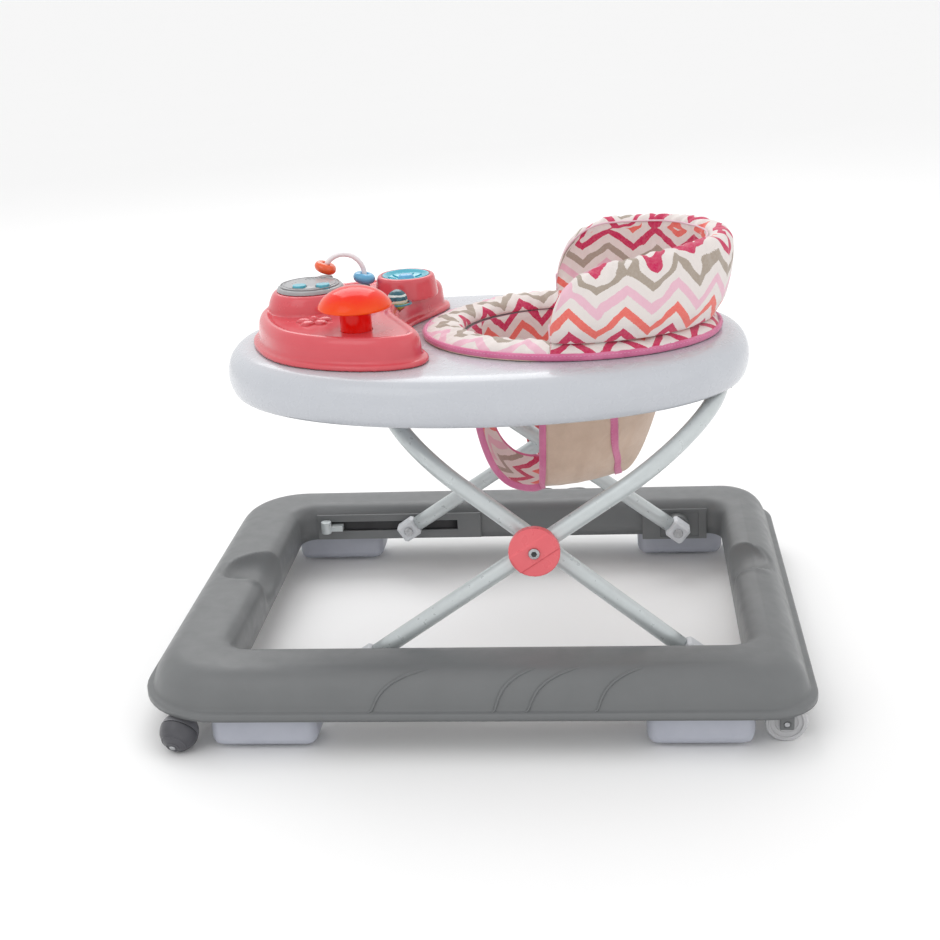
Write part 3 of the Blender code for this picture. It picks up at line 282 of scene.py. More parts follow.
BASE_GREY = moulded("base_grey", (107, 109, 110), (111, 113, 114), 0.4, (360.0, 0.12), 0.03)
# painted shade: near-black for the hollow behind the slots and for the depth of the hub bolts' sockets
PAINTED_SHADE_DARK = moulded("painted_shade_dark", (38, 38, 40), (52, 52, 54), 0.6)
PAD_WHITE = moulded("pad_white", (170, 173, 184), (180, 183, 193), 0.42)
TRAY_WHITE = moulded("tray_white", (191, 194, 200), (194, 197, 203), 0.26, None, Coat_Weight=0.3)
PLUG_WHITE = moulded("plug_white", (200, 203, 207), (216, 218, 222), 0.35)
TUBE_GREY = painted("tube_grey", (200, 206, 207), (193, 199, 200))
TOY_CORAL = moulded("toy_coral", (210, 76, 86), (215, 83, 92), 0.22, None, Coat_Weight=0.3)
HUB_CORAL = moulded("hub_coral", (224, 96, 104), (229, 104, 111), 0.3, (600.0, 0.08), 0.1)
POD_GREY = moulded("pod_grey", (150, 150, 152), (162, 162, 164), 0.3, Coat_Weight=0.2)
CYAN = moulded("cyan", (72, 172, 192), (86, 184, 202), 0.18, None, Coat_Weight=0.4)
TEAL = moulded("teal", (30, 104, 118), (44, 124, 138), 0.22, Coat_Weight=0.3)
BEAD_BLUE = moulded("bead_blue_plastic", (88, 166, 208), (104, 178, 216), 0.18, None, Coat_Weight=0.4)
BEAD_RED = moulded("bead_red_plastic", (232, 88, 40), (238, 102, 52), 0.18, None, Coat_Weight=0.4)
PLUM = moulded("plum", (74, 62, 96), (86, 72, 108), 0.3)
WIRE_WHITE = moulded("wire_white", (232, 228, 230), (240, 236, 238), 0.22, None)
BALL_BANDS_AND_HIGHLIGHT = banded(
    "ball_bands_and_painted_highlight",
    (0.4012, 0.4242),
    (
        (0.0, (176, 196, 78)),
        (0.36, (224, 220, 196)),
        (0.50, (18, 84, 98)),
        # painted highlight: the pale band between the teal bands stands for the white highlights on the ball's top
        (0.70, (206, 220, 216)),
        (0.80, (18, 84, 98)),
    ),
)
WHEEL_DARK = moulded("wheel_dark", (70, 70, 75), (84, 84, 89), 0.34, (500.0, 0.15))
HOOD_GREY = moulded("hood_grey", (112, 112, 117), (126, 126, 130), 0.34, (500.0, 0.15))
WHEEL_PALE = moulded("wheel_pale", (186, 186, 188), (196, 196, 198), 0.4, (500.0, 0.15))
STEEL = plated("steel_plate")
KNOB_ORANGE = glowing_orange("knob_orange", KNOB_PLACE)
COTTON = printed_cotton("zigzag_cotton")
PINK = plain_cloth("pink_binding", (226, 138, 174), (210, 106, 150), 0.35, 0.0012, 0.7, 0.6)
PALE_TRIM = plain_cloth("pale_trim", (230, 206, 214), (222, 182, 198), 0.3, 0.0009, 0.75, 0.5)
BEIGE = plain_cloth("beige_lining", (222, 196, 176), (205, 178, 158), 0.3, 0.0008, 0.62, 0.45)
THREAD = plain_cloth("thread", (236, 170, 200), (222, 150, 186), 0.2, 0.0006)


WELD_DISTANCE = 0.00002
SHARP_ANGLE = math.radians(32)


def smooth_shade(mesh):
    mesh.polygons.foreach_set("use_smooth", [True] * len(mesh.polygons))
    mesh.update()


def dress(prefix, material, edge):
    """Gives the CAD nodes whose names start so a material, welded smooth shading and softened edges."""
    for name, node in NODES.items():
        if not name.startswith(prefix):
            continue
        node.data.materials.clear()
        node.data.materials.append(material)
        if node.data.has_custom_normals:
            with bpy.context.temp_override(object=node, active_object=node, selected_objects=[node]):
                bpy.ops.mesh.customdata_custom_splitnormals_clear()
        smooth_shade(node.data)
        weld = node.modifiers.new("weld", "WELD")
        weld.merge_threshold = WELD_DISTANCE
        if edge:
            soften = node.modifiers.new("edges", "BEVEL")
            soften.width = edge
            soften.segments = 2
            soften.limit_method = "ANGLE"
            soften.angle_limit = SHARP_ANGLE
        node.modifiers.new("normals", "WEIGHTED_NORMAL")


for part, material, edge in (
    ("slide_guide", BASE_GREY, 0.0006),
    ("pivot_plate", BASE_GREY, 0.0006),
    ("slot_stop", TUBE_GREY, 0.0008),
    ("brake_pad", PAD_WHITE, 0.001),
    ("rear_leg_plug", PLUG_WHITE, 0.0006),
    ("front_leg_plug", PLUG_WHITE, 0.0006),
    ("rear_pivot_pin", STEEL, 0.0004),
    ("slide_pin", STEEL, 0.0004),
    ("hub_bolt", STEEL, 0.0004),
    ("hub_nut", STEEL, 0.0004),
    ("rear_bar_bracket", TRAY_WHITE, 0.001),
    ("front_slide_rail", TRAY_WHITE, 0.0008),
    ("castor_wheel", WHEEL_DARK, 0.0005),
    ("castor_hood", HOOD_GREY, 0.0005),
    ("castor_axle", STEEL, 0.0003),
    ("rear_wheel_left", WHEEL_PALE, 0.0005),
    ("rear_wheel_right", WHEEL_PALE, 0.0005),
    ("rear_axle", STEEL, 0.0003),
    ("bead_arch", WIRE_WHITE, 0.0),
    ("bead_foot_front", POD_GREY, 0.001),
    ("bead_foot_rear", PLUM, 0.001),
    ("music_button", CYAN, 0.0012),
):
    dress(part, material, edge)

# ---------------------------------------------------------------- mesh helpers


def turns(count):
    """Evenly spaced angles round a circle."""
    return [2 * math.pi * k / count for k in range(count)]


def heading(angle):
    """The level unit vector at an angle from +x."""
    return Vector((math.cos(angle), math.sin(angle), 0.0))


def level_circle(place, radius, z, steps):
    """Points round an upright axis through place."""
    return [Vector((place[0] + radius * math.cos(a), place[1] + radius * math.sin(a), z)) for a in turns(steps)]


def mirrored(points):
    """The points on the other side of the walker, in reverse order."""
    return [Vector((p.x, -p.y, p.z)) for p in reversed(points)]


def add_object(name, data):
    obj = bpy.data.objects.new(name, data)
    bpy.context.scene.collection.objects.link(obj)
    return obj


def piece(name, mesh, body, materials):
    """A new visual object that rides on a body."""
    for material in materials:
        mesh.materials.append(material)
    obj = add_object(name, mesh)
    smooth_shade(mesh)
    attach(obj, body)
    return obj


def add_grid(work, rows, wrap_rows=False, wrap_columns=False, marks=None, finish=0):
    """Quads through rows of points; marks are each point's (u, v), with one more row or column where it wraps."""
    layer = work.loops.layers.uv.get("cloth") or work.loops.layers.uv.new("cloth")
    verts = [[work.verts.new(point) for point in row] for row in rows]
    across = len(verts) if wrap_rows else len(verts) - 1
    around = len(verts[0]) if wrap_columns else len(verts[0]) - 1
    for i in range(across):
        for j in range(around):
            k, m = (i + 1) % len(verts), (j + 1) % len(verts[0])
            face = work.faces.new((verts[i][j], verts[k][j], verts[k][m], verts[i][m]))
            face.material_index = finish
            if marks:
                corners = ((i, j), (i + 1, j), (i + 1, j + 1), (i, j + 1))
                for loop, (a, b) in zip(face.loops, corners):
                    loop[layer].uv = marks[a][b]
    return verts


def to_mesh(name, work, merge=0.0):
    if merge:
        bmesh.ops.remove_doubles(work, verts=work.verts, dist=merge)
    bmesh.ops.recalc_face_normals(work, faces=work.faces)
    mesh = bpy.data.meshes.new(name)
    work.to_mesh(mesh)
    work.free()
    return mesh


def grid_mesh(name, rows, **options):
    work = bmesh.new()
    add_grid(work, rows, **options)
    return to_mesh(name, work)


def resample(points, count, closed=False):
    """Evenly spaced points along a smooth curve through the given ones."""
    given = [Vector(point) for point in points]
    total = len(given)
    spans = total if closed else total - 1
    fine = []
    for i in range(spans):
        if closed:
            a, b, c, d = (given[(i + k) % total] for k in (-1, 0, 1, 2))
        else:
            a, b, c, d = (given[min(max(i + k, 0), total - 1)] for k in (-1, 0, 1, 2))
        for j in range(24):
            t = j / 24
            curved = (2 * a - 5 * b + 4 * c - d) * t**2 + (3 * b - a - 3 * c + d) * t**3
            fine.append(0.5 * (2 * b + (c - a) * t + curved))
    fine.append(given[0] if closed else given[-1])
    cells = np.array([tuple(point) for point in fine])
    lengths = np.concatenate([[0.0], np.cumsum(np.linalg.norm(np.diff(cells, axis=0), axis=1))])
    wanted = np.linspace(0.0, lengths[-1], count + 1 if closed else count)
    if closed:
        wanted = wanted[:-1]
    columns = [np.interp(wanted, lengths, cells[:, k]) for k in range(cells.shape[1])]
    return [Vector(values) for values in zip(*columns)]


def sweep(work, path, section, normals=None, closed=False, taper=0.0, finish=0):
    """A tube along a path; section holds (across, out) offsets, and normals say which way is out."""
    rows = []
    count = len(path)
    for i, point in enumerate(path):
        before = path[i - 1] if i or closed else path[i]
        after = path[(i + 1) % count] if i < count - 1 or closed else path[i]
        forward = (after - before).normalized()
        out = Vector(normals[i]) if normals else Vector((0, 0, 1))
        across = forward.cross(out).normalized()
        out = across.cross(forward).normalized()
        size = 1.0
        if taper and not closed:
            near = min(i, count - 1 - i) / (count - 1) / taper
            size = math.sqrt(max(0.0, 1 - (1 - min(1.0, near)) ** 2)) * 0.95 + 0.05
        rows.append([point + size * (a * across + o * out) for a, o in section])
    verts = add_grid(work, rows, closed, True, finish=finish)
    if not closed:
        work.faces.new(verts[0]).material_index = finish
        work.faces.new(list(reversed(verts[-1]))).material_index = finish


def oval_section(half_across, half_out, count):
    return [(half_across * math.cos(a), half_out * math.sin(a)) for a in turns(count)]


def add_blob(work, place, size, turn=Matrix(), segments=24):
    """An ellipsoid with the given half sizes; returns its vertices."""
    shape = Matrix.Translation(place) @ turn @ Matrix.Diagonal((*size, 1.0))
    half = segments // 2
    return bmesh.ops.create_uvsphere(work, u_segments=segments, v_segments=half, radius=1.0, matrix=shape)["verts"]


STITCH_PITCH, STITCH_LENGTH, STITCH_LIFT = 0.0042, 0.0027, 0.0002


def stitches(name, path, normals):
    """A row of thread stitches along a path on the seat."""
    work = bmesh.new()
    steps = max(2, int(sum((b - a).length for a, b in zip(path, path[1:])) / STITCH_PITCH))
    centres = resample(path, steps)
    outs = resample(normals, steps)
    for i in range(steps - 1):
        forward = (centres[i + 1] - centres[i]).normalized()
        out = outs[i].normalized()
        centre = centres[i] + STITCH_LIFT * out
        line = [centre + forward * STITCH_LENGTH * (t - 0.5) for t in (0.0, 0.25, 0.5, 0.75, 1.0)]
        line = [p + out * (0.0002 - 0.0005 * abs(k - 2) ** 2 / 4) for k, p in enumerate(line)]
        sweep(work, line, oval_section(0.00038, 0.0003, 6), [out] * 5, taper=0.3)
    piece(name, to_mesh(name, work), "tray", [THREAD])


def lathe(name, profile, place, axis, body, material, steps=64, fine=5):
    """A turned piece; profile holds (radius, height) along its outer side, and a repeated point keeps a corner."""
    runs, run = [], [profile[0]]
    for point in profile[1:]:
        run.append(point)
        if point == run[-2]:
            runs.append(run[:-1])
            run = [point]
    runs.append(run)
    outline = []
    for part in runs:
        flat = [Vector((r, h, 0.0)) for r, h in part]
        smooth = resample(flat, (len(flat) - 1) * fine + 1) if len(flat) > 2 else flat
        outline += [(point.x, point.y) for point in smooth]
    matrix = Matrix.Translation(place) @ Vector(axis).to_track_quat("Z", "Y").to_matrix().to_4x4()
    rows = []
    for radius, height in outline:
        rows.append([matrix @ point for point in level_circle((0, 0), max(radius, 0.00001), height, steps)])
    work = bmesh.new()
    add_grid(work, rows, wrap_columns=True)
    made = piece(name, to_mesh(name, work, 0.00003), body, [material])
    made.modifiers.new("normals", "WEIGHTED_NORMAL")
    return made


def run_together(obj, voxel, smoothing):
    """Remeshes and smooths an object, so that its hard edges run together as in a moulding."""
    remesh = obj.modifiers.new("remesh", "REMESH")
    remesh.mode = "VOXEL"
    remesh.voxel_size = voxel
    smooth = obj.modifiers.new("smooth", "SMOOTH")
    smooth.factor = 0.5
    smooth.iterations = smoothing


def finish_moulding(obj, node, body, material):
    """Applies an object's modifiers and lets it stand for a CAD node."""
    bake(obj)
    obj.data.materials.clear()
    obj.data.materials.append(material)
    smooth_shade(obj.data)
    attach(obj, body)
    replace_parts(obj, node)


def remould(name, node, body, material, voxel, smoothing):
    """A finer copy of a CAD solid with its hard edges run together, as a moulding has them."""
    mesh = NODES[node].data.copy()
    mesh.name = name
    mesh.materials.clear()
    work = bmesh.new()
    work.from_mesh(mesh)
    bmesh.ops.remove_doubles(work, verts=work.verts, dist=WELD_DISTANCE)
    work.to_mesh(mesh)
    work.free()
    made = add_object(name, mesh)
    run_together(made, voxel, smoothing)
    finish_moulding(made, node, body, material)


def bake(obj):
    """Applies an object's modifiers."""
    graph = bpy.context.evaluated_depsgraph_get()
    graph.update()
    mesh = bpy.data.meshes.new_from_object(obj.evaluated_get(graph), preserve_all_data_layers=True, depsgraph=graph)
    obj.modifiers.clear()
    old = obj.data
    obj.data = mesh
    bpy.data.meshes.remove(old)


def thicken(obj, thickness):
    """Gives a shell its wall, inwards from its outer face."""
    wall = obj.modifiers.new("wall", "SOLIDIFY")
    wall.thickness = thickness
    wall.offset = -1.0


def refine(obj):
    finer = obj.modifiers.new("finer", "SUBSURF")
    finer.levels = finer.render_levels = 1


CLOTH_SETTINGS = {
    "quality": 6,
    "mass": 0.25,
    "tension_stiffness": 18,
    "compression_stiffness": 18,
    "shear_stiffness": 8,
    "bending_stiffness": 0.4,
    "use_pressure": True,
    "vertex_group_mass": "held",
}
CLOTH_FRAMES = 20


def puff(obj, hold, pressure, growth, cap):
    """Inflates a closed cloth form with held points by simulation, capping how far any point may move."""
    group = obj.vertex_groups.new(name="held")
    for weight, indices in hold.items():
        group.add(indices, weight, "REPLACE")
    start = np.empty(len(obj.data.vertices) * 3)
    obj.data.vertices.foreach_get("co", start)
    modifier = obj.modifiers.new("cloth", "CLOTH")
    settings = modifier.settings
    for key, value in CLOTH_SETTINGS.items():
        setattr(settings, key, value)
    settings.uniform_pressure_force = pressure
    settings.shrink_min = -growth
    settings.effector_weights.gravity = 0.0
    modifier.collision_settings.use_collision = False
    modifier.point_cache.frame_start = 1
    modifier.point_cache.frame_end = CLOTH_FRAMES
    for number in range(1, CLOTH_FRAMES + 1):
        bpy.context.scene.frame_set(number)
    graph = bpy.context.evaluated_depsgraph_get()
    done = obj.evaluated_get(graph).to_mesh()
    moved = np.empty(len(start))
    done.vertices.foreach_get("co", moved)
    obj.evaluated_get(graph).to_mesh_clear()
    shift = (moved - start).reshape(-1, 3)
    length = np.linalg.norm(shift, axis=1, keepdims=True)
    shift *= np.minimum(1.0, cap / np.maximum(length, 1e-9))
    obj.modifiers.clear()
    bpy.context.scene.frame_set(1)
    obj.data.vertices.foreach_set("co", (start.reshape(-1, 3) + shift).ravel())
    obj.data.update()


def crumple(point, scale, seed=0.0):
    """Seeded smooth noise, about -1 to 1."""
    return noise.noise(Vector(point) * scale + Vector((seed, 2.7 * seed, -seed)))


# ---------------------------------------------------------------- base ring

HALF_LENGTH, HALF_WIDTH = 0.36, 0.2953
FRONT_RADIUS, REAR_RADIUS = 0.096, 0.055
FRONT_EDGE, REAR_EDGE = -0.264, 0.291
OPENING = (FRONT_EDGE, REAR_EDGE, 0.2023, 0.022, 0.02)
CORNER_STEPS, LONG_STEPS, SHORT_STEPS = 12, 70, 110
WALL = (
    (0.0, 0.043), (0.0, 0.0490), (0.0009, 0.0504), (0.0030, 0.0511), (0.0062, 0.0513), (0.0074, 0.0524),
    (0.0086, 0.0560), (0.0112, 0.0632), (0.0150, 0.0710), (0.0195, 0.0772), (0.0250, 0.0825),
    (0.0305, 0.0858), (0.0360, 0.0876), (0.0410, 0.0885),
)
INNER_WALL = (
    (0.0200, 0.0888), (0.0150, 0.0880), (0.0102, 0.0862), (0.0060, 0.0830), (0.0030, 0.0790),
    (0.0012, 0.0740), (0.0003, 0.0660), (0.0, 0.0560), (0.0, 0.0430),
)


def plan(front, rear, half, front_radius, rear_radius, z):
    """A rounded rectangle with points along its sides, anticlockwise from above."""
    corners = (
        (rear - rear_radius, half - rear_radius, rear_radius, 0.0, LONG_STEPS),
        (front + front_radius, half - front_radius, front_radius, 90.0, SHORT_STEPS),
        (front + front_radius, front_radius - half, front_radius, 180.0, LONG_STEPS),
        (rear - rear_radius, rear_radius - half, rear_radius, 270.0, SHORT_STEPS),
    )
    arcs = []
    for x, y, radius, start, side in corners:
        turn = [math.radians(start + 90.0 * i / CORNER_STEPS) for i in range(CORNER_STEPS + 1)]
        arcs.append(([Vector((x + radius * math.cos(a), y + radius * math.sin(a), z)) for a in turn], side))
    ring = []
    for k, (arc, side) in enumerate(arcs):
        ring += arc
        following = arcs[(k + 1) % 4][0][0]
        ring += [arc[-1].lerp(following, i / side) for i in range(1, side)]
    return ring


# middle y, reach towards -y and +y, inner edge x, way outwards, reach in x, depth
SCOOPS = (
    (0.008, 0.042, 0.048, FRONT_EDGE, -1.0, 0.057, 0.021),
    (0.016, 0.038, 0.046, REAR_EDGE, 1.0, 0.047, 0.019),
)


def scoop(point):
    """Sinks the half-round finger grips into the inner top edges of the front and rear rails."""
    x, y, z = point
    for centre, near, far, edge, way, reach, depth in SCOOPS:
        inward = (x - edge) * way
        if inward < -0.004 or z < 0.05:
            continue
        off = ((centre - y) / near) ** 4 if y < centre else ((y - centre) / far) ** 2
        bowl = 1 - off - (max(0.0, inward) / reach) ** 2
        lip = math.exp(-(((y - centre + near * 1.04) / 0.0040) ** 2)) * max(0.0, 1 - (inward / (0.9 * reach)) ** 2)
        low = min(1.0, (z - 0.05) / 0.03)
        if bowl > 0:
            sunk = depth * bowl**0.7 * low * (1.0 if y > centre else 1 - 0.25 * (centre - y) / near)
            z -= sunk
            x += way * 0.3 * sunk
        z += 0.0030 * lip * low
    return Vector((x, y, z))


def build_base():
    """The ring base: outer wall, crown and inner wall, with the finger grips sunk in."""
    rings = []
    for inset, z in WALL:
        sizes = (inset - HALF_LENGTH, HALF_LENGTH - inset, HALF_WIDTH - inset, FRONT_RADIUS - inset)
        rings.append(plan(*sizes, REAR_RADIUS - 0.6 * inset, z))
    inner = []
    for outset, z in INNER_WALL:
        front, rear, half, front_radius, rear_radius = OPENING
        sizes = (front - outset, rear + outset, half + outset, front_radius + outset, rear_radius + outset)
        inner.append(plan(*sizes, z))
    for share in [k / 9 for k in range(1, 9)]:
        lift = 0.0006 * math.sin(math.pi * share)
        crown = [a.lerp(b, share) + Vector((0, 0, lift)) for a, b in zip(rings[len(WALL) - 1], inner[0])]
        rings.append(crown)
    rings += inner
    rings = [[scoop(point) for point in ring] for ring in rings]
    work = bmesh.new()
    add_grid(work, rings, wrap_columns=True)
    base = piece("base_shell", to_mesh("base_shell", work), "base", [BASE_GREY])
    thicken(base, 0.003)
    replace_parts(base, "base_frame")


def wall_point(x, inset, sign):
    """A point on the long outer wall and the way out from it."""
    insets, heights = zip(*WALL[2:])
    z = np.interp(inset, insets, heights)
    rise = np.interp(inset + 0.001, insets, heights) - z
    out = Vector((0.0, sign * rise, 0.001)).normalized()
    return Vector((x, sign * (HALF_WIDTH - inset), z)), out


# start and end in x, half width
SWOOSHES = (
    (-0.104, -0.040, 0.0016),
    (0.025, 0.070, 0.0018),
    (0.059, 0.115, 0.0016),
    (0.130, 0.182, 0.0016),
)


def build_relief(side, sign):
    """Raised swooshes on the long outer wall."""
    work = bmesh.new()
    for start, end, width in SWOOSHES:
        path, normals = [], []
        for k in range(25):
            t = k / 24
            x = start + (end - start) * (0.42 * t + 0.58 * t**2.2)
            point, out = wall_point(x, 0.003 + 0.030 * t, sign)
            path.append(point)
            normals.append(out)
        sweep(work, path, oval_section(width, 0.0021, 10), normals, taper=0.35)
    piece(f"base_relief_{side}", to_mesh(f"base_relief_{side}", work), "base", [BASE_GREY])


def build_painted_slot_shade(side, sign):
    """A dark sheet behind the slot: painted shade for the hollow seen through it."""
    work = bmesh.new()
    y = sign * 0.20205
    matrix = Matrix.Translation((-0.1465, y, 0.0624)) @ Matrix.Diagonal((0.189, 0.0003, 0.0165, 1.0))
    bmesh.ops.create_cube(work, size=1.0, matrix=matrix)
    bmesh.ops.subdivide_edges(work, edges=work.edges, cuts=3, use_grid_fill=True)
    piece(f"painted_slot_shade_{side}", to_mesh(f"painted_slot_shade_{side}", work), "base", [PAINTED_SHADE_DARK])


build_base()
for side, sign in SIDES:
    build_relief(side, sign)
    build_painted_slot_shade(side, sign)

# ---------------------------------------------------------------- legs

HUB = Vector((0.069409, 0.0, 0.186992))
TUBE_RADIUS = 0.0095
PLUG_LENGTH = 0.026
SPLAY_STEPS, BEND_STEPS, TUBE_SIDES = 12, 32, 32


def build_leg(name, node, body, angle, way, lower, upper, bend, foot_y, top_y):
    """A U-shaped round tube: up one splayed side, across the crossbar and down the other side.

    lower and upper are the lengths from the hub to the foot and to the crossbar.
    """
    direction = Vector((way * math.cos(math.radians(angle)), 0.0, math.sin(math.radians(angle))))
    path = []
    for k in range(SPLAY_STEPS + 1):
        start = PLUG_LENGTH / 2 + 0.001 - lower
        distance = start + (upper - bend + lower - PLUG_LENGTH / 2 - 0.001) * k / SPLAY_STEPS
        y = foot_y + (top_y - foot_y) * (distance + lower) / (lower + upper - bend)
        path.append(HUB + distance * direction + Vector((0, -y, 0)))
    for k in range(1, BEND_STEPS + 1):
        turn = math.pi / 2 * k / BEND_STEPS
        point = HUB + (upper - bend + bend * math.sin(turn)) * direction
        path.append(point + Vector((0, bend * (1 - math.cos(turn)) - top_y, 0)))
    path += mirrored(path)
    flat = direction.cross(Vector((0, 1, 0)))
    work = bmesh.new()
    sweep(work, path, oval_section(TUBE_RADIUS, TUBE_RADIUS, TUBE_SIDES), [flat] * len(path))
    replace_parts(piece(name, to_mesh(name, work), body, [TUBE_GREY]), node)


build_leg("rear_leg_bar", "rear_leg_tube", "rear_leg", 37.87, -1, 0.2085, 0.2195, 0.131, 0.176, 0.154)
build_leg("front_leg_bar", "front_leg_tube", "front_leg", 33.8, 1, 0.2255, 0.2445, 0.145, 0.1885, 0.1772)

# ---------------------------------------------------------------- tray


HOLE_X = 0.11
TRAY_X, TRAY_HALF, TRAY_POWER = 0.0126, (0.2944, 0.2027), 2.15
TRAY_COLUMNS = 180


def superoval(centre_x, half, z, power=2.0):
    """A level oval; a power above 2 squares it."""
    ring = []
    for angle in turns(TRAY_COLUMNS):
        c, s = math.cos(angle), math.sin(angle)
        x = math.copysign(abs(c) ** (2 / power), c) * half[0]
        y = math.copysign(abs(s) ** (2 / power), s) * half[1]
        ring.append(Vector((centre_x + x, y, z)))
    return ring


def build_tray():
    """The tray: turned-down lip at the seat hole, flat top, deep rounded rim and a rolled lower edge."""
    rings = []
    for grow, drop in ((0.0, 0.0100), (0.0, 0.0050), (0.0006, 0.0022), (0.0018, 0.0007), (0.0035, 0.0), (0.010, 0.0)):
        rings.append(superoval(HOLE_X, (0.13 + grow, 0.105 + grow), 0.377 - drop))
    outer = (
        (0.040, 0.3770), (0.030, 0.3769), (0.023, 0.3764), (0.017, 0.3753), (0.0115, 0.3731),
        (0.0072, 0.3695), (0.0040, 0.3650), (0.0018, 0.3598), (0.0005, 0.3540), (0.0, 0.3480),
        (0.0004, 0.3420), (0.0020, 0.3350), (0.0042, 0.3295), (0.0060, 0.3270), (0.0078, 0.3272),
    )
    top = rings[-1]
    rim = [superoval(TRAY_X, [half - inset for half in TRAY_HALF], z, TRAY_POWER) for inset, z in outer]
    for share in (0.2, 0.4, 0.6, 0.8):
        rings.append([a.lerp(b, share) for a, b in zip(top, rim[0])])
    mesh = grid_mesh("tray_body", rings + rim, wrap_columns=True)
    tray = piece("tray_body", mesh, "tray", [TRAY_WHITE])
    thicken(tray, 0.0028)
    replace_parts(tray, "tray_shell")


build_tray()

# ---------------------------------------------------------------- toys

PANEL_HALF = (
    (-0.236, -0.063), (-0.201, -0.115), (-0.147, -0.146), (-0.088, -0.156), (-0.049, -0.143),
    (-0.039, -0.112), (-0.056, -0.068), (-0.073, -0.030),
)
PANEL_WALL = (
    (0.0, 0.3774), (0.0, 0.3806), (0.0006, 0.3820), (0.0020, 0.3830), (0.0050, 0.3837), (0.0064, 0.3844),
    (0.0070, 0.3860), (0.0074, 0.3930), (0.0080, 0.4000), (0.0092, 0.4045), (0.0112, 0.4080),
    (0.0138, 0.4102), (0.0160, 0.4110), (0.0180, 0.4107), (0.0197, 0.4097), (0.0209, 0.4085),
    (0.0222, 0.4079),
)


PANEL_COLUMNS = 300
SEAT_LOW = 0.4050
POD_SEAT = (
    (0.0500, SEAT_LOW),
    (0.0490, 0.4130), (0.0472, 0.4190), (0.0444, 0.4250), (0.0418, 0.4282), (0.0398, 0.4290),
)
DISH_SEAT = (
    (0.0372, SEAT_LOW),
    (0.0358, 0.4150), (0.0346, 0.4230), (0.0336, 0.4275), (0.0326, 0.4296), (0.0314, 0.4302),
)
FOOT_SEAT = ((0.0120, SEAT_LOW), (0.0112, 0.4200), (0.0108, 0.4280), (0.0102, 0.4288))
PANEL_WELLS = (
    (KNOB_PLACE, ((0.0178, 0.4000), (0.0178, 0.4200))),
    (BALL_PLACE, ((0.0128, 0.4000), (0.0128, 0.4200))),
    (DISH_PLACE, ((0.0278, 0.4227), (0.0294, 0.4322))),
)


def closed_stack(work, rings):
    """A solid through closed rings of points, with its two ends filled."""
    verts = add_grid(work, rings, wrap_columns=True)
    work.faces.new(verts[0])
    work.faces.new(verts[-1])


def turned_solid(work, place, profile):
    """A closed turned solid; profile holds (radius, z) from its foot up."""
    closed_stack(work, [level_circle(place, radius, z, 72) for radius, z in profile])


def build_panel():
    """The moulded toy panel: flange, rounded wall, sunk flat, raised seats and wells for the toys."""
    outline = [(-0.252, 0.0), *PANEL_HALF, (-0.077, 0.0), *[(x, -y) for x, y in reversed(PANEL_HALF)]]
    outline = resample([(x, y, 0.0) for x, y in outline], PANEL_COLUMNS, closed=True)
    outs = []
    for i in range(PANEL_COLUMNS):
        along = outline[(i + 1) % PANEL_COLUMNS] - outline[i - 1]
        outs.append(Vector((along.y, -along.x, 0.0)).normalized())
    work = bmesh.new()
    closed_stack(
        work,
        [[p - inset * out + Vector((0, 0, z)) for p, out in zip(outline, outs)] for inset, z in PANEL_WALL],
    )
    for place, profile in ((POD_PLACE, POD_SEAT), (DISH_PLACE, DISH_SEAT), (BEAD_FOOT_PLACE, FOOT_SEAT)):
        turned_solid(work, place, profile)
    made = add_object("toy_panel_body", to_mesh("toy_panel_body", work))
    run_together(made, 0.0015, 6)
    cutters = []
    for place, profile in PANEL_WELLS:
        tool = bmesh.new()
        turned_solid(tool, place, profile)
        cut = made.modifiers.new("cut", "BOOLEAN")
        cut.operation = "DIFFERENCE"
        cut.solver = "EXACT"
        cut.object = add_object("cutter", to_mesh("cutter", tool))
        cutters.append(cut.object)
    finish_moulding(made, "toy_panel", "tray", TOY_CORAL)
    for cutter in cutters:
        bpy.data.objects.remove(cutter)


build_panel()
remould("music_pod_body", "music_pod", "tray", POD_GREY, 0.0006, 3)
for side, sign in SIDES:
    remould(f"hub_cap_body_{side}", f"hub_cap_{side}", "front_leg", HUB_CORAL, 0.0006, 4)
    bracket = f"rear_wheel_bracket_{side}"
    remould(f"wheel_bracket_body_{side}", bracket, "base", BASE_GREY, 0.0007, 14)


def build_flower():
    """A small generic flower raised on the panel's flat."""
    work = bmesh.new()
    centre = Vector((-0.1715, -0.0545, PANEL_FLAT))
    for turn in turns(5):
        angle = turn + 0.5
        place = centre + 0.0118 * heading(angle)
        add_blob(work, place, (0.0088, 0.0072, 0.0042), Matrix.Rotation(angle, 4, "Z"))
    add_blob(work, centre, (0.0062, 0.0062, 0.0066))
    piece("panel_flower", to_mesh("panel_flower", work), "tray", [TOY_CORAL])


def arch_frame(angle):
    """A place on the bead wire and the wire's direction there."""
    centre = Vector((-0.1553, 0.066, 0.4338))
    place = centre + 0.0235 * Vector((math.cos(angle), 0.0, math.sin(angle)))
    return place, (-math.sin(angle), 0.0, math.cos(angle))


def build_knob():
    """The mushroom-shaped push knob."""
    knob = (
        (0.0, 0.0455), (0.0062, 0.0453), (0.0125, 0.0443), (0.0190, 0.0424), (0.0262, 0.0391),
        (0.0330, 0.0345), (0.0378, 0.0290), (0.0399, 0.0248), (0.0394, 0.0228), (0.0372, 0.0219),
        (0.0300, 0.0212), (0.0212, 0.0203), (0.0182, 0.0192), (0.0174, 0.0165), (0.0170, 0.0080),
        (0.0172, -0.0110), (0.0172, -0.0110), (0.0, -0.0110),
    )
    made = lathe("push_knob_body", knob, (*KNOB_PLACE, 0.410), UP, "push_knob", KNOB_ORANGE)
    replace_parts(made, "push_knob")


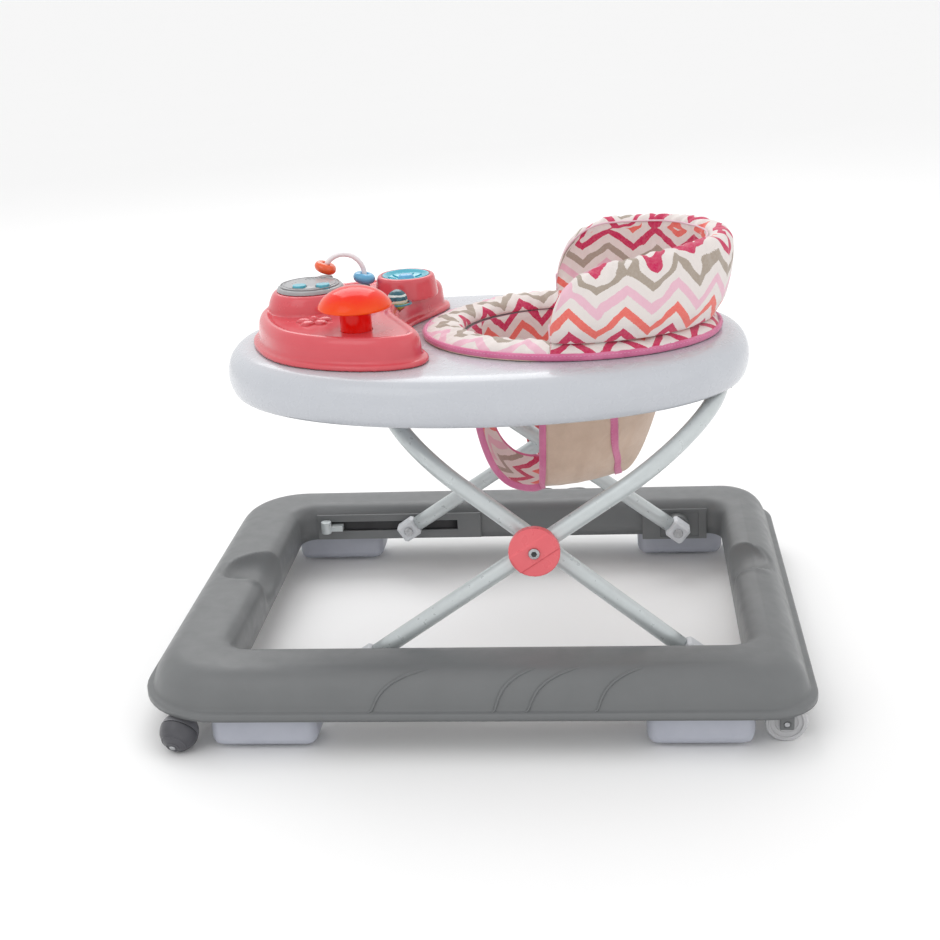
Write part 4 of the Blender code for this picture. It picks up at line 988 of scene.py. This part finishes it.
def build_beads():
    """The two beads on the wire."""
    bead = [(0.0052, 0.0055), (0.0066, 0.0058), (0.0090, 0.0055), (0.0112, 0.0042), (0.0126, 0.0020), (0.0130, 0.0)]
    bead += [(radius, -height) for radius, height in reversed(bead[:-1])]
    bead += [bead[-1], (0.0042, -0.0030), (0.0042, 0.0030), bead[0]]
    for name, angle, material, slot in (
        ("bead_red", 159, BEAD_RED, "orange_plastic"),
        ("bead_blue", -12.4, BEAD_BLUE, "blue_plastic"),
    ):
        place, axis = arch_frame(math.radians(angle))
        made = lathe(f"{name}_body", bead, place, axis, name, material, 48)
        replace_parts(made, name)


DISH_CENTRE = Vector((*DISH_PLACE, 0.4302 - 0.0071))


def build_dish():
    """The dish with raised rays."""
    dish = (
        (0.0, 0.0016), (0.0100, 0.0016), (0.0150, 0.0021), (0.0205, 0.0036), (0.0242, 0.0060),
        (0.0254, 0.0070), (0.0263, 0.0074), (0.0273, 0.0071), (0.0275, 0.0060), (0.0270, 0.0030),
        (0.0266, 0.0002), (0.0266, 0.0002), (0.0, 0.0002),
    )
    made = lathe("toy_dish_body", dish, DISH_CENTRE, UP, "tray", CYAN)
    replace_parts(made, "toy_dish")
    work = bmesh.new()
    for angle in turns(10):
        points = ((0.0118, 0.0022), (0.0155, 0.0026), (0.0190, 0.0036), (0.0215, 0.0048))
        path = [DISH_CENTRE + heading(angle) * r + Vector((0, 0, h)) for r, h in points]
        sweep(work, resample(path, 9), oval_section(0.0009, 0.0008, 8), [UP] * 9, taper=0.4)
    piece("toy_dish_rays", to_mesh("toy_dish_rays", work), "tray", [CYAN])


def build_dial():
    """The dial in the dish, with a grip across it."""
    dial = (
        (0.0, 0.0052), (0.0030, 0.0052), (0.0058, 0.0049), (0.0078, 0.0040), (0.0090, 0.0022),
        (0.0095, 0.0), (0.0095, 0.0), (0.0, 0.0),
    )
    place = DISH_CENTRE + Vector((0, 0, 0.0022))
    made = lathe("click_dial_body", dial, place, UP, "click_dial", BEAD_BLUE, 48)
    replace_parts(made, "click_dial")
    work = bmesh.new()
    for angle in (0.3, 0.3 + math.pi):
        path = []
        for k, radius in enumerate((0.0012, 0.0026, 0.0042, 0.0056)):
            path.append(DISH_CENTRE + heading(angle) * radius + Vector((0, 0, 0.0073 - 0.0006 * k)))
        sweep(work, path, oval_section(0.0009, 0.0007, 8), [UP] * 4, taper=0.5)
    piece("click_dial_grip", to_mesh("click_dial_grip", work), "click_dial", [BEAD_BLUE])


def build_ball():
    """The grooved ball and the bezel of its well."""
    ball = [(0.0118 * math.sin(a), 0.0118 * math.cos(a)) for a in np.linspace(0.0, math.pi, 25)]
    groove = [(r - 0.0007 * math.exp(-((h / 0.0011) ** 2)), h) for r, h in ball]
    place = (*BALL_PLACE, 0.4125)
    made = lathe("roller_ball_body", groove, place, (0.25, 1, 0), "roller", BALL_BANDS_AND_HIGHLIGHT, 48, 2)
    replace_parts(made, "roller_ball")
    ring = [(0.0168, 0.0), (0.0162, 0.0014), (0.0146, 0.0018), (0.0132, 0.0012), (0.0129, 0.0)]
    lathe("roller_bezel", ring, (*BALL_PLACE, PANEL_FLAT), UP, "tray", TEAL, 48)


def build_pod_marks():
    """Two raised rings and a patch of small dots on the music pod."""
    work = bmesh.new()
    for radius, height in ((0.0335, 0.4352), (0.0300, 0.4358)):
        path = level_circle(POD_PLACE, radius, height, 60)
        sweep(work, path, oval_section(0.0007, 0.0005, 8), [UP] * 60, closed=True)
    for row in range(3):
        for k in range(5 - row % 2):
            place = Vector((-0.194 + 0.005 * k + 0.0025 * (row % 2), 0.030 + 0.0045 * row, 0.4370))
            add_blob(work, place, (0.0013, 0.0013, 0.0006), segments=12)
    piece("music_pod_rings", to_mesh("music_pod_rings", work), "tray", [POD_GREY])


for build in (build_flower, build_knob, build_beads, build_dish, build_dial, build_ball, build_pod_marks):
    build()


def build_screw_recess(side, sign):
    """The hexagonal recess in the hub bolt's head, with a bright rim; its shallow floor is painted dark as shade for
    the socket's depth.
    """
    low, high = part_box(f"hub_bolt_{side}")
    y = low.y if sign < 0 else high.y
    x, z = (low.x + high.x) / 2, (low.z + high.z) / 2
    work = bmesh.new()
    rows = []
    corner = math.pi / 3
    for radius, out in ((0.0044, -0.0002), (0.0042, 0.0003), (0.0034, 0.0004), (0.0031, 0.0001)):
        ring = []
        for a in turns(24):
            flat = 0.93 / math.cos(a % corner - corner / 2) if radius < 0.0035 else 1.0
            ring.append(Vector((x + radius * flat * math.cos(a), y + sign * out, z + radius * flat * math.sin(a))))
        rows.append(ring)
    verts = add_grid(work, rows, wrap_columns=True)
    # painted shade: the recess floor takes the dark material
    work.faces.new(verts[-1]).material_index = 1
    name = f"hub_recess_{side}"
    piece(name, to_mesh(name, work), "front_leg", [STEEL, PAINTED_SHADE_DARK])


def build_wheel_face(wheel, axle, side, sign, rings, material):
    """Raised rings and an axle cap on the outer face of a wheel."""
    body = f"{wheel}_{side}"
    spots = np.array([tuple(vert.co) for vert in NODES[f"{axle}_{side}"].data.vertices])
    middle = spots.mean(axis=0)
    axis = Vector(np.linalg.svd(spots - middle, full_matrices=False)[2][0])
    if axis.y * sign < 0:
        axis = -axis
    centre = Vector(middle)
    across = axis.orthogonal().normalized()
    other = axis.cross(across)
    mesh = NODES[body].data
    shape = BVHTree.FromPolygons([v.co for v in mesh.vertices], [p.vertices for p in mesh.polygons])

    def face_point(radius, angle):
        start = centre + 0.06 * axis + radius * (math.cos(angle) * across + math.sin(angle) * other)
        return shape.ray_cast(start, -axis)[:2]

    work = bmesh.new()
    for radius, size, rise in rings:
        path, normals = zip(*[face_point(radius, angle) for angle in turns(60)])
        if None not in path:
            sweep(work, path, oval_section(size, rise, 10), normals, closed=True)
    place, _ = face_point(0.0002, 0.0)
    if place is not None:
        cap = add_blob(work, place, (0.0034, 0.0034, 0.0016), axis.to_track_quat("Z", "Y").to_matrix().to_4x4())
        for face in {face for vert in cap for face in vert.link_faces}:
            face.material_index = 1
    name = f"{wheel}_rings_{side}"
    piece(name, to_mesh(name, work), body, [material, STEEL])


# wheel, axle, (radius, half width, rise) of each ring, material, slot
WHEELS = (
    ("castor_wheel", "castor_axle", ((0.0135, 0.0012, 0.0006), (0.0068, 0.0010, 0.0007)), WHEEL_DARK, "dark_wheel"),
    ("rear_wheel", "rear_axle", ((0.0178, 0.0010, 0.0006), (0.0122, 0.0008, 0.0006)), WHEEL_PALE, "pale_wheel"),
)


for side, sign in SIDES:
    for wheel, axle, rings, material, slot in WHEELS:
        build_wheel_face(wheel, axle, side, sign, rings, material)
for side, sign in SIDES:
    build_screw_recess(side, sign)

# ---------------------------------------------------------------- seat

RING_OUT, RING_IN = (0.165, 0.135), (0.121, 0.094)
RING_LOW, RING_HIGH = 0.3778, 0.0155


def arc_from_rear(half, degrees):
    """Distance round an oval from its rear point."""
    turn = np.radians(np.linspace(0.0, degrees, 200))
    x, y = half[0] * np.cos(turn), half[1] * np.sin(turn)
    return float(np.sum(np.hypot(np.diff(x), np.diff(y))))


MIDDLE = tuple((a + b) / 2 for a, b in zip(RING_OUT, RING_IN))
SHIFT = VALLEY_AT + 3 * ZIGZAG_PERIOD - arc_from_rear(MIDDLE, 119)
PRINT_LEVEL = 0.391


def print_along(degrees):
    """Where the print is along the ring and the sling, measured on the ring's middle."""
    return arc_from_rear(MIDDLE, degrees) + SHIFT


def build_ring():
    """The padded, gathered ring round the seat hole."""
    count = 216
    section = (
        (0.0, 0.02), (-0.02, 0.28), (0.02, 0.58), (0.12, 0.80), (0.28, 0.95), (0.46, 1.0), (0.64, 0.97),
        (0.80, 0.86), (0.92, 0.68), (0.985, 0.45), (1.0, 0.22), (0.99, 0.02),
    )
    under = [(0.82, 0.0), (0.62, 0.0), (0.42, 0.0), (0.2, 0.0)]
    profile = [*section, *under]
    developed = [0.0]
    for (a, b), (c, d) in zip(profile, profile[1:] + profile[:1]):
        developed.append(developed[-1] + math.hypot((c - a) * 0.0425, (d - b) * RING_HIGH))
    rows, marks = [], []
    for i in range(count + 1):
        degrees = 360.0 * i / count
        angle = math.radians(degrees)
        folded = degrees if degrees <= 180 else 360 - degrees
        rear = folded < 97
        along = arc_from_rear(RING_OUT, folded) if rear else print_along(folded)
        swell = 1.0 + 0.07 * crumple(heading(angle), 9.0, 3.0)
        under_back = min(1.0, max(0.0, (folded - 92) / 12))
        row = []
        for across, up in profile:
            half = [a + across * (b - a) for a, b in zip(RING_IN, RING_OUT)]
            gather = 0.0
            if up > 0.1:
                ripple = math.sin(folded * 1.05 + 3 * crumple((folded * 0.05, across, 0.0), 1.0))
                gather = 0.0015 * ripple * up * (0.4 + 0.6 * under_back)
            x = HOLE_X + (half[0] + 0.3 * gather) * math.cos(angle)
            y = (half[1] + 0.3 * gather) * math.sin(angle)
            height = up * RING_HIGH * (1.0 + (swell - 1.0) * under_back) * 0.97
            row.append(Vector((x, y, RING_LOW + height + gather * under_back)))
        if i < count:
            rows.append(row)
        marks.append([(along, PRINT_LEVEL + (0.047 if rear else 0.0) - value) for value in developed])
    mesh = grid_mesh("ring_cushion", rows, wrap_rows=True, wrap_columns=True, marks=marks)
    ring = piece("ring_cushion", mesh, "tray", [COTTON])
    width = len(profile)
    held = [i * width + j for i in range(count) for j in (0, *range(len(section) - 1, width))]
    puff(ring, {1.0: held}, pressure=3.0, growth=0.05, cap=0.003)
    refine(ring)
    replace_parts(ring, "seat_ring")


def build_ring_binding():
    """The pink bound edge at the foot of the ring, with its stitches."""
    path, normals, seam, seam_out = [], [], [], []
    for angle in turns(240):
        outward = heading(angle)
        slack = 0.0007 * crumple(outward, 14.0, 8.0)
        x, y = HOLE_X + (0.1652 + slack) * outward.x, (0.1352 + slack) * outward.y
        path.append(Vector((x, y, 0.3816 + 0.5 * slack)))
        normals.append(outward)
        seam.append(path[-1] + 0.0026 * outward + Vector((0, 0, 0.0016)))
        seam_out.append((outward + Vector((0, 0, 0.6))).normalized())
    work = bmesh.new()
    sweep(work, path, oval_section(0.0041, 0.0026, 14), normals, closed=True)
    # a flat beige strip lies on the tray along the front half of the ring's foot, just below the binding
    start, end = 62, 179
    front = [p - 0.0012 * n - Vector((0, 0, 0.0030)) for p, n in zip(path[start:end], normals[start:end])]
    sweep(work, front, oval_section(0.0012, 0.0034, 10), normals[start:end], taper=0.1, finish=1)
    piece("ring_binding", to_mesh("ring_binding", work), "tray", [PINK, BEIGE])
    stitches("ring_binding_stitches", seam + seam[:1], seam_out + seam_out[:1])


def back_height(x):
    """Height of the backrest's crest above the floor: it rises from the wings to the rear."""
    front, full = 0.088, 0.165
    if x < full:
        share = max(0.0, (x - front) / (full - front))
        return 0.403 + 0.080 * math.sqrt(max(0.0, 1 - (1 - share) ** 2))
    return 0.483 + 0.007 * math.sin(min(1.0, (x - full) / 0.10) * math.pi / 2)


BACK_SWEEP = math.radians(98)
BACK_THICK = 0.028
BACK_INSIDE = (0.139, 0.109)
INSIDE_SHIFT = 0.0224


def back_point(angle, across, up, spare=0.0):
    """A point of the backrest: across 0 is outside and 1 inside, up 0 is the foot and 1 the crest."""
    low = RING_LOW + RING_HIGH + 0.0004
    wing = min(1.0, max(0.0, (BACK_SWEEP - abs(angle)) / math.radians(14)))
    thick = BACK_THICK * (0.30 + 0.70 * math.sqrt(wing * (2 - wing))) - 2 * spare
    outward = heading(angle)
    foot = Vector((HOLE_X + RING_OUT[0] * outward.x, RING_OUT[1] * outward.y, 0.0))
    height = back_height(foot.x) - low - spare
    inset = BACK_THICK / 2 + 0.002 + (across - 0.5) * thick - 0.014 * up * height / 0.1
    inset -= 0.0075 * math.sin(math.pi * min(1.0, up)) * height / 0.1
    return foot - outward * inset + Vector((0, 0, low + up * height))


def build_backrest():
    """The padded horseshoe round the rear of the seat, its printed cover puckered at the top and the wings."""
    stations = 132
    outer = [(0.0, k / 12 * 0.84) for k in range(13)]
    crest = []
    for k in [*range(1, 12), 11.8]:
        turn = math.pi * k / 12
        crest.append((0.5 - 0.5 * math.cos(turn), 0.84 + 0.16 * math.sin(turn)))
    inner = [(1.0, 0.84 - k / 12 * 0.84) for k in range(13)]
    foot = [(0.75, 0.0), (0.5, 0.0), (0.25, 0.0)]
    profile = outer + crest + inner + foot
    rows, marks = [], []
    ends = [0.0, 0.002, 0.006, 0.012, 0.020]
    shares = ends + list(np.linspace(0.03, 0.97, stations)) + [1 - e for e in reversed(ends)]
    for share in shares:
        angle = BACK_SWEEP * (2 * share - 1)
        edge = min(1.0, min(share, 1 - share) / 0.03)
        round_off = math.sqrt(max(0.0, 1 - (1 - edge) ** 2))
        along = arc_from_rear(RING_OUT, abs(math.degrees(angle)))
        slope = 0.008 * min(1.0, max(0.0, (55 - abs(math.degrees(angle))) / 30))
        outward = heading(angle)
        row, mark = [], []
        for k, (across, up) in enumerate(profile):
            wide = 0.5 + (across - 0.5) * (0.12 + 0.88 * round_off)
            tall = up * (0.86 + 0.14 * round_off)
            point = back_point(angle, wide, tall, 0.0030)
            if up > 0.3:
                near_top = min(1.0, (up - 0.3) / 0.5)
                folds = math.sin(along * 420 + 4 * crumple((along * 30, across * 2, up), 1.0, 5.0))
                lump = crumple((along * 22, across * 1.5, up * 2.0), 1.0, 9.0)
                point += outward * (0.0009 * folds + 0.0016 * lump) * near_top * (1 if across < 0.5 else -1)
                point.z += (0.0008 * folds + 0.0012 * lump) * near_top * (up > 0.8)
            row.append(point)
            broken = 0.013 * min(1.0, max(0.0, (up - 0.72) / 0.16))
            sideways = broken * crumple((along * 26, across, up * 3), 1.0, 21.0)
            upward = 1.4 * broken * crumple((along * 34, across, up * 3), 1.0, 33.0)
            if k < len(outer):
                mark.append((along + sideways, point.z + slope + upward))
            elif k < len(outer) + len(crest):
                done = (k - len(outer) + 1) / (len(crest) + 1)
                mark.append((along + sideways, row[len(outer) - 1].z + 0.036 * done + slope + upward))
            else:
                inside = arc_from_rear(BACK_INSIDE, abs(math.degrees(angle))) + INSIDE_SHIFT
                mark.append((inside + 0.4 * sideways, 1.25 * point.z - 0.0795 + 0.4 * upward))
        mark.append(mark[0])
        rows.append(row)
        marks.append(mark)
    work = bmesh.new()
    verts = add_grid(work, rows, wrap_columns=True, marks=marks)
    work.faces.new(verts[0])
    work.faces.new(list(reversed(verts[-1])))
    mesh = to_mesh("back_cushion", work)
    back = piece("back_cushion", mesh, "tray", [COTTON])
    width = len(profile)
    seam = len(outer) + len(crest) - 1
    foot_points = [i * width + j for i in range(len(rows)) for j in (0, 1, *range(width - len(foot) - 2, width))]
    crease = [i * width + j for i in range(len(rows)) for j in (seam, seam + 1)]
    puff(back, {1.0: foot_points, 0.35: crease}, pressure=3.5, growth=0.03, cap=0.004)
    refine(back)
    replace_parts(back, "seat_backrest")


def build_back_piping():
    """Piping in the seam between the crest and the inner wall, and where the backrest meets the ring."""
    crest_path, crest_out = [], []
    for k in range(97):
        angle = BACK_SWEEP * 0.965 * (2 * k / 96 - 1)
        point = back_point(angle, 0.94, 0.90)
        crest_path.append(point + Vector((0, 0, 0.0006 * crumple((angle * 9, 0, 0), 1.0, 2.0))))
        crest_out.append(Vector((-math.cos(angle), -math.sin(angle), 1.0)).normalized())
    work = bmesh.new()
    sweep(work, crest_path, oval_section(0.0010, 0.0010, 10), crest_out, taper=0.02)
    piece("back_piping", to_mesh("back_piping", work), "tray", [PALE_TRIM])
    for side, sign in SIDES:
        path, outs = [], []
        for k in range(21):
            up = 0.02 + 0.90 * k / 20
            point = back_point(sign * BACK_SWEEP * 0.992, 0.5, up, 0.0012)
            path.append(point)
            outs.append(Vector((-1.0, 0.25 * sign, 0.2)).normalized())
        work = bmesh.new()
        sweep(work, path, oval_section(0.0032, 0.0016, 12), outs, taper=0.08)
        name = f"wing_trim_{side}"
        piece(name, to_mesh(name, work), "tray", [PALE_TRIM])


# The sling: a bucket behind two leg holes, and a front strap between them
SLING_RIM, SLING_TOP = (0.1225, 0.0975), 0.3772
KEEL_FRONT, KEEL_REAR = (0.068, 0.200), (0.160, 0.206)
SLING_SWEEP = math.acos((0.078 - HOLE_X) / SLING_RIM[0])
SEAT_MIDDLE = Vector((0.12, 0.0, 0.30))
STRAP_HALF = 0.052
HOLE_TOP, HOLE_FOOT = 2 / 9, 7 / 9
STRAP_STEPS, STRAP_COLUMNS = 33, 20
BAND_ROWS, BAND_COLUMNS = 10, 26
STRAP_LINE = (
    KEEL_FRONT,
    (0.050, 0.201), (0.030, 0.210), (0.013, 0.2315), (0.001, 0.268), (-0.005, 0.312), (-0.0075, 0.343),
    (-0.009, 0.3765),
)
STRAP_SPOTS = resample([(x, 0.0, z) for x, z in STRAP_LINE], STRAP_STEPS + 1)


def sling_point(angle, share, folds=True):
    """A point of the bucket: share 0 is its rim, 1 the keel line under the seat; the sign of angle is the side."""
    side = -1.0 if angle < 0 else 1.0
    angle = abs(angle)
    forward = angle / SLING_SWEEP
    rim_x = HOLE_X + SLING_RIM[0] * math.cos(angle)
    rim_y = SLING_RIM[1] * math.sin(angle)
    keel_x = KEEL_REAR[0] + (KEEL_FRONT[0] - KEEL_REAR[0]) * forward
    keel_z = KEEL_REAR[1] + (KEEL_FRONT[1] - KEEL_REAR[1]) * forward
    turn = share * math.pi / 2
    x = rim_x + (keel_x - rim_x) * share
    y = rim_y * max(0.0, math.cos(turn)) ** 0.62
    z = SLING_TOP + (keel_z - SLING_TOP) * math.sin(turn) ** (0.9 + 0.25 * (1 - forward))
    if folds:
        loose = math.sin(math.pi * share) * math.sin(math.pi * min(1.0, forward) * 0.94)
        drape = 0.0016 * math.sin(19 * angle + 2.5 * share) + 0.0022 * crumple((x, y * side, z), 28.0, 4.0)
        y -= loose * drape
        x += 0.5 * loose * drape
    return Vector((x, side * y, z))


def strap_row(number):
    """One row of points across the strap, from 0 at the crotch to STRAP_STEPS at the ring."""
    half_row = STRAP_COLUMNS // 2
    shares = [HOLE_FOOT + (1 - HOLE_FOOT) * m / half_row for m in range(half_row + 1)]
    edge = [sling_point(-SLING_SWEEP, share, False) for share in shares]
    edge += mirrored(edge[:-1])
    if number == 0:
        return edge
    spot = STRAP_SPOTS[number]
    k = number / STRAP_STEPS
    fade = 1 - k
    half = STRAP_HALF * (0.86 + 0.14 * fade)
    row = []
    for point in edge:
        share = point.y / abs(edge[0].y)
        rise = point.z - KEEL_FRONT[1]
        bow = SLING_RIM[0] * (1 - math.sqrt(1 - (half * share / SLING_RIM[1]) ** 2))
        ripple = 0.0010 * math.sin(7 * share + 9 * k) * math.sin(math.pi * k)
        row.append(Vector((spot.x + bow * (1 - fade) + ripple, half * share, spot.z + rise * fade)))
    return row


def rim_point(angle):
    """A point of the sling's rim, at floor height."""
    return Vector((HOLE_X + SLING_RIM[0] * math.cos(angle), SLING_RIM[1] * math.sin(angle), 0.0))


def band_columns(sign):
    """Columns of points of the band above a leg hole, from the bucket's front edge to the strap."""
    near = [sling_point(sign * SLING_SWEEP, HOLE_TOP * j / BAND_ROWS) for j in range(BAND_ROWS + 1)]
    end = 0 if sign < 0 else -1
    far = [strap_row(STRAP_STEPS - j)[end] for j in range(BAND_ROWS + 1)]
    last = math.acos((far[0].x - HOLE_X) / SLING_RIM[0])
    made, angles = [], []
    for m in range(BAND_COLUMNS + 1):
        share = m / BAND_COLUMNS
        angle = SLING_SWEEP + (last - SLING_SWEEP) * share
        angles.append(angle)
        column = []
        for j, (a, b) in enumerate(zip(near, far)):
            point = rim_point(sign * angle)
            point += (a - rim_point(sign * SLING_SWEEP)) * (1 - share) + (b - rim_point(sign * last)) * share
            slack = math.sin(math.pi * share) * j / BAND_ROWS
            outward = Vector((math.cos(angle), sign * math.sin(angle), 0))
            point -= outward * 0.0025 * slack * (1 + 0.6 * math.sin(9 * share))
            column.append(point)
        made.append(column)
    return made, angles


def lengths_down(points):
    """The distance from the first point to each one, along the line."""
    lengths = [0.0]
    for a, b in zip(points, points[1:]):
        lengths.append(lengths[-1] + (b - a).length)
    return lengths


def build_sling():
    """The bucket, the strap and the two bands, printed inside and lined outside."""
    around, down = 56, 45
    work = bmesh.new()
    rows, marks = [], []
    for i in range(-around, around + 1):
        angle = SLING_SWEEP * i / around
        row = [sling_point(angle if i else 1e-9, j / down) for j in range(down + 1)]
        along = print_along(abs(math.degrees(angle)))
        rows.append(row)
        marks.append([(along, PRINT_LEVEL + value) for value in lengths_down(row)])
    add_grid(work, rows, marks=marks)
    for _, sign in SIDES:
        columns, angles = band_columns(sign)
        marks = []
        for column, angle in zip(columns, angles):
            along = print_along(math.degrees(angle))
            marks.append([(along, PRINT_LEVEL + value) for value in lengths_down(column)])
        add_grid(work, columns, marks=marks)
    strap = [strap_row(number) for number in range(STRAP_STEPS + 1)]
    middle = lengths_down([row[STRAP_COLUMNS // 2] for row in strap])
    end, top = print_along(180), PRINT_LEVEL + middle[-1]
    marks = [[(end - abs(point.y), top - value) for point in row] for row, value in zip(strap, middle)]
    add_grid(work, strap, marks=marks)
    bmesh.ops.remove_doubles(work, verts=work.verts, dist=0.0003)
    area = sum(face.calc_area() for face in work.faces)
    mesh = to_mesh("seat_sling_cloth", work)
    facing = sum((SEAT_MIDDLE - face.center).dot(face.normal) * face.area for face in mesh.polygons)
    if facing < 0:
        mesh.flip_normals()
    sling = piece("seat_sling_cloth", mesh, "tray", [COTTON, BEIGE, PINK])
    layer = sling.modifiers.new("two layers", "SOLIDIFY")
    layer.thickness = 0.0016
    layer.offset = -1.0
    layer.material_offset = 1
    layer.material_offset_rim = 2
    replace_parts(sling, "seat_sling")
    return sling, area


def build_sling_trim(side, sign):
    """The bound edge round a leg hole, and the seam tape down the side of the bucket."""
    shares = [HOLE_TOP + (HOLE_FOOT - HOLE_TOP) * k / 16 for k in range(17)]
    path = [sling_point(sign * SLING_SWEEP, share) for share in shares]
    end = 0 if sign < 0 else -1
    path += [strap_row(number)[end] for number in range(1, STRAP_STEPS - BAND_ROWS)]
    columns, _ = band_columns(sign)
    path += [column[-1] for column in reversed(columns)][:-1]
    count = 150
    path = resample(path, count, closed=True)
    middle = sum(path, Vector()) / len(path)
    normals = []
    for i, point in enumerate(path):
        along = (path[(i + 1) % count] - path[i - 1]).normalized()
        away = point - middle
        away -= along * away.dot(along)
        normals.append(away.normalized())
    path = [point + 0.0034 * normal for point, normal in zip(path, normals)]
    work = bmesh.new()
    sweep(work, path, oval_section(0.0019, 0.0045, 14), normals, closed=True)
    name = f"leg_binding_{side}"
    binding = piece(name, to_mesh(name, work), "tray", [PINK])
    tape, outs = [], []
    for k in range(31):
        share = 0.98 * k / 30
        wanted = 0.1525 + 0.0065 * share
        low, high = 0.0, SLING_SWEEP
        for _ in range(24):
            half_way = (low + high) / 2
            if sling_point(half_way, share, False).x > wanted:
                low = half_way
            else:
                high = half_way
        point = sling_point(sign * low, share)
        beside = sling_point(sign * (low + 0.01), share) - sling_point(sign * max(0.001, low - 0.01), share)
        below = sling_point(sign * low, min(1.0, share + 0.01)) - sling_point(sign * low, max(0.0, share - 0.01))
        out = beside.cross(below).normalized()
        if out.dot(point - SEAT_MIDDLE) < 0:
            out = -out
        tape.append(point + 0.0019 * out)
        outs.append(out)
    work = bmesh.new()
    sweep(work, tape, oval_section(0.0046, 0.0011, 12), outs, taper=0.02)
    name = f"seam_tape_{side}"
    made = piece(name, to_mesh(name, work), "tray", [PINK])
    for number, offset in enumerate((-0.0034, 0.0034), 1):
        line = []
        for i, point in enumerate(tape):
            forward = tape[min(i + 1, 30)] - tape[max(i - 1, 0)]
            line.append(point + offset * forward.cross(outs[i]).normalized() + 0.0007 * outs[i])
        stitches(f"seam_tape_stitches_{side}_{number}", line, outs)
    return binding, made


build_ring()
build_ring_binding()
build_backrest()
build_back_piping()
sling, sling_area = build_sling()
trims = [part for side, sign in SIDES for part in build_sling_trim(side, sign)]

# ---------------------------------------------------------------- studio


# the camera, fitted to the photo
CAMERA_PLACE = (0.1596, -1.6667, 0.8111)
YAW, PITCH, ROLL = 0.1036, 0.3441, -0.0554
LAMPS = (
    ("key", (-1.3, -1.7, 2.4), (0.0, 0.0, 0.2), 1.6, 7.0),
    ("fill", (1.8, -1.3, 1.4), (0.0, 0.0, 0.2), 1.8, 2.0),
    ("back", (-0.4, 1.7, 2.2), (0.0, 0.0, 0.25), 1.8, 22.0),
)


def build_floor_and_sky():
    """A pale floor under an even white sky."""
    floor = bpy.data.meshes.new("studio_floor")
    size = 40.0
    floor.from_pydata([(-size, -size, 0), (size, -size, 0), (size, size, 0), (-size, size, 0)], [], [(0, 1, 2, 3)])
    finish = Finish("studio_floor", 0.9)
    finish.colour(finish.mix(finish.noise(3.0), (0.96, 0.96, 0.96, 1.0), (0.97, 0.97, 0.97, 1.0)))
    floor.materials.append(finish.material)
    ground = add_object("studio_floor", floor)

    world = bpy.data.worlds.new("studio")
    world.use_nodes = True
    sky = world.node_tree.nodes["Background"]
    sky.inputs["Color"].default_value = (1.0, 1.0, 1.0, 1.0)
    sky.inputs["Strength"].default_value = 0.96
    bpy.context.scene.world = world


def build_lamps():
    for name, place, target, size, energy in LAMPS:
        light = bpy.data.lights.new(name, "AREA")
        light.size = size
        light.energy = energy
        lamp = add_object(name, light)
        lamp.location = place
        lamp.rotation_euler = (Vector(target) - Vector(place)).to_track_quat("-Z", "Y").to_euler()


def build_camera():
    camera = bpy.data.cameras.new("camera")
    camera.lens = 58.25
    camera.sensor_width = 36.0
    eye = add_object("camera", camera)
    ahead = Vector((-math.sin(YAW) * math.cos(PITCH), math.cos(YAW) * math.cos(PITCH), -math.sin(PITCH)))
    level = heading(YAW)
    above = level.cross(ahead)
    right = math.cos(ROLL) * level + math.sin(ROLL) * above
    up = -math.sin(ROLL) * level + math.cos(ROLL) * above
    turned = Matrix((right, up, -ahead)).transposed().to_4x4()
    eye.matrix_world = Matrix.Translation(CAMERA_PLACE) @ turned
    bpy.context.scene.camera = eye
    bpy.context.scene.view_settings.view_transform = "Standard"


build_floor_and_sky()
build_lamps()
build_camera()
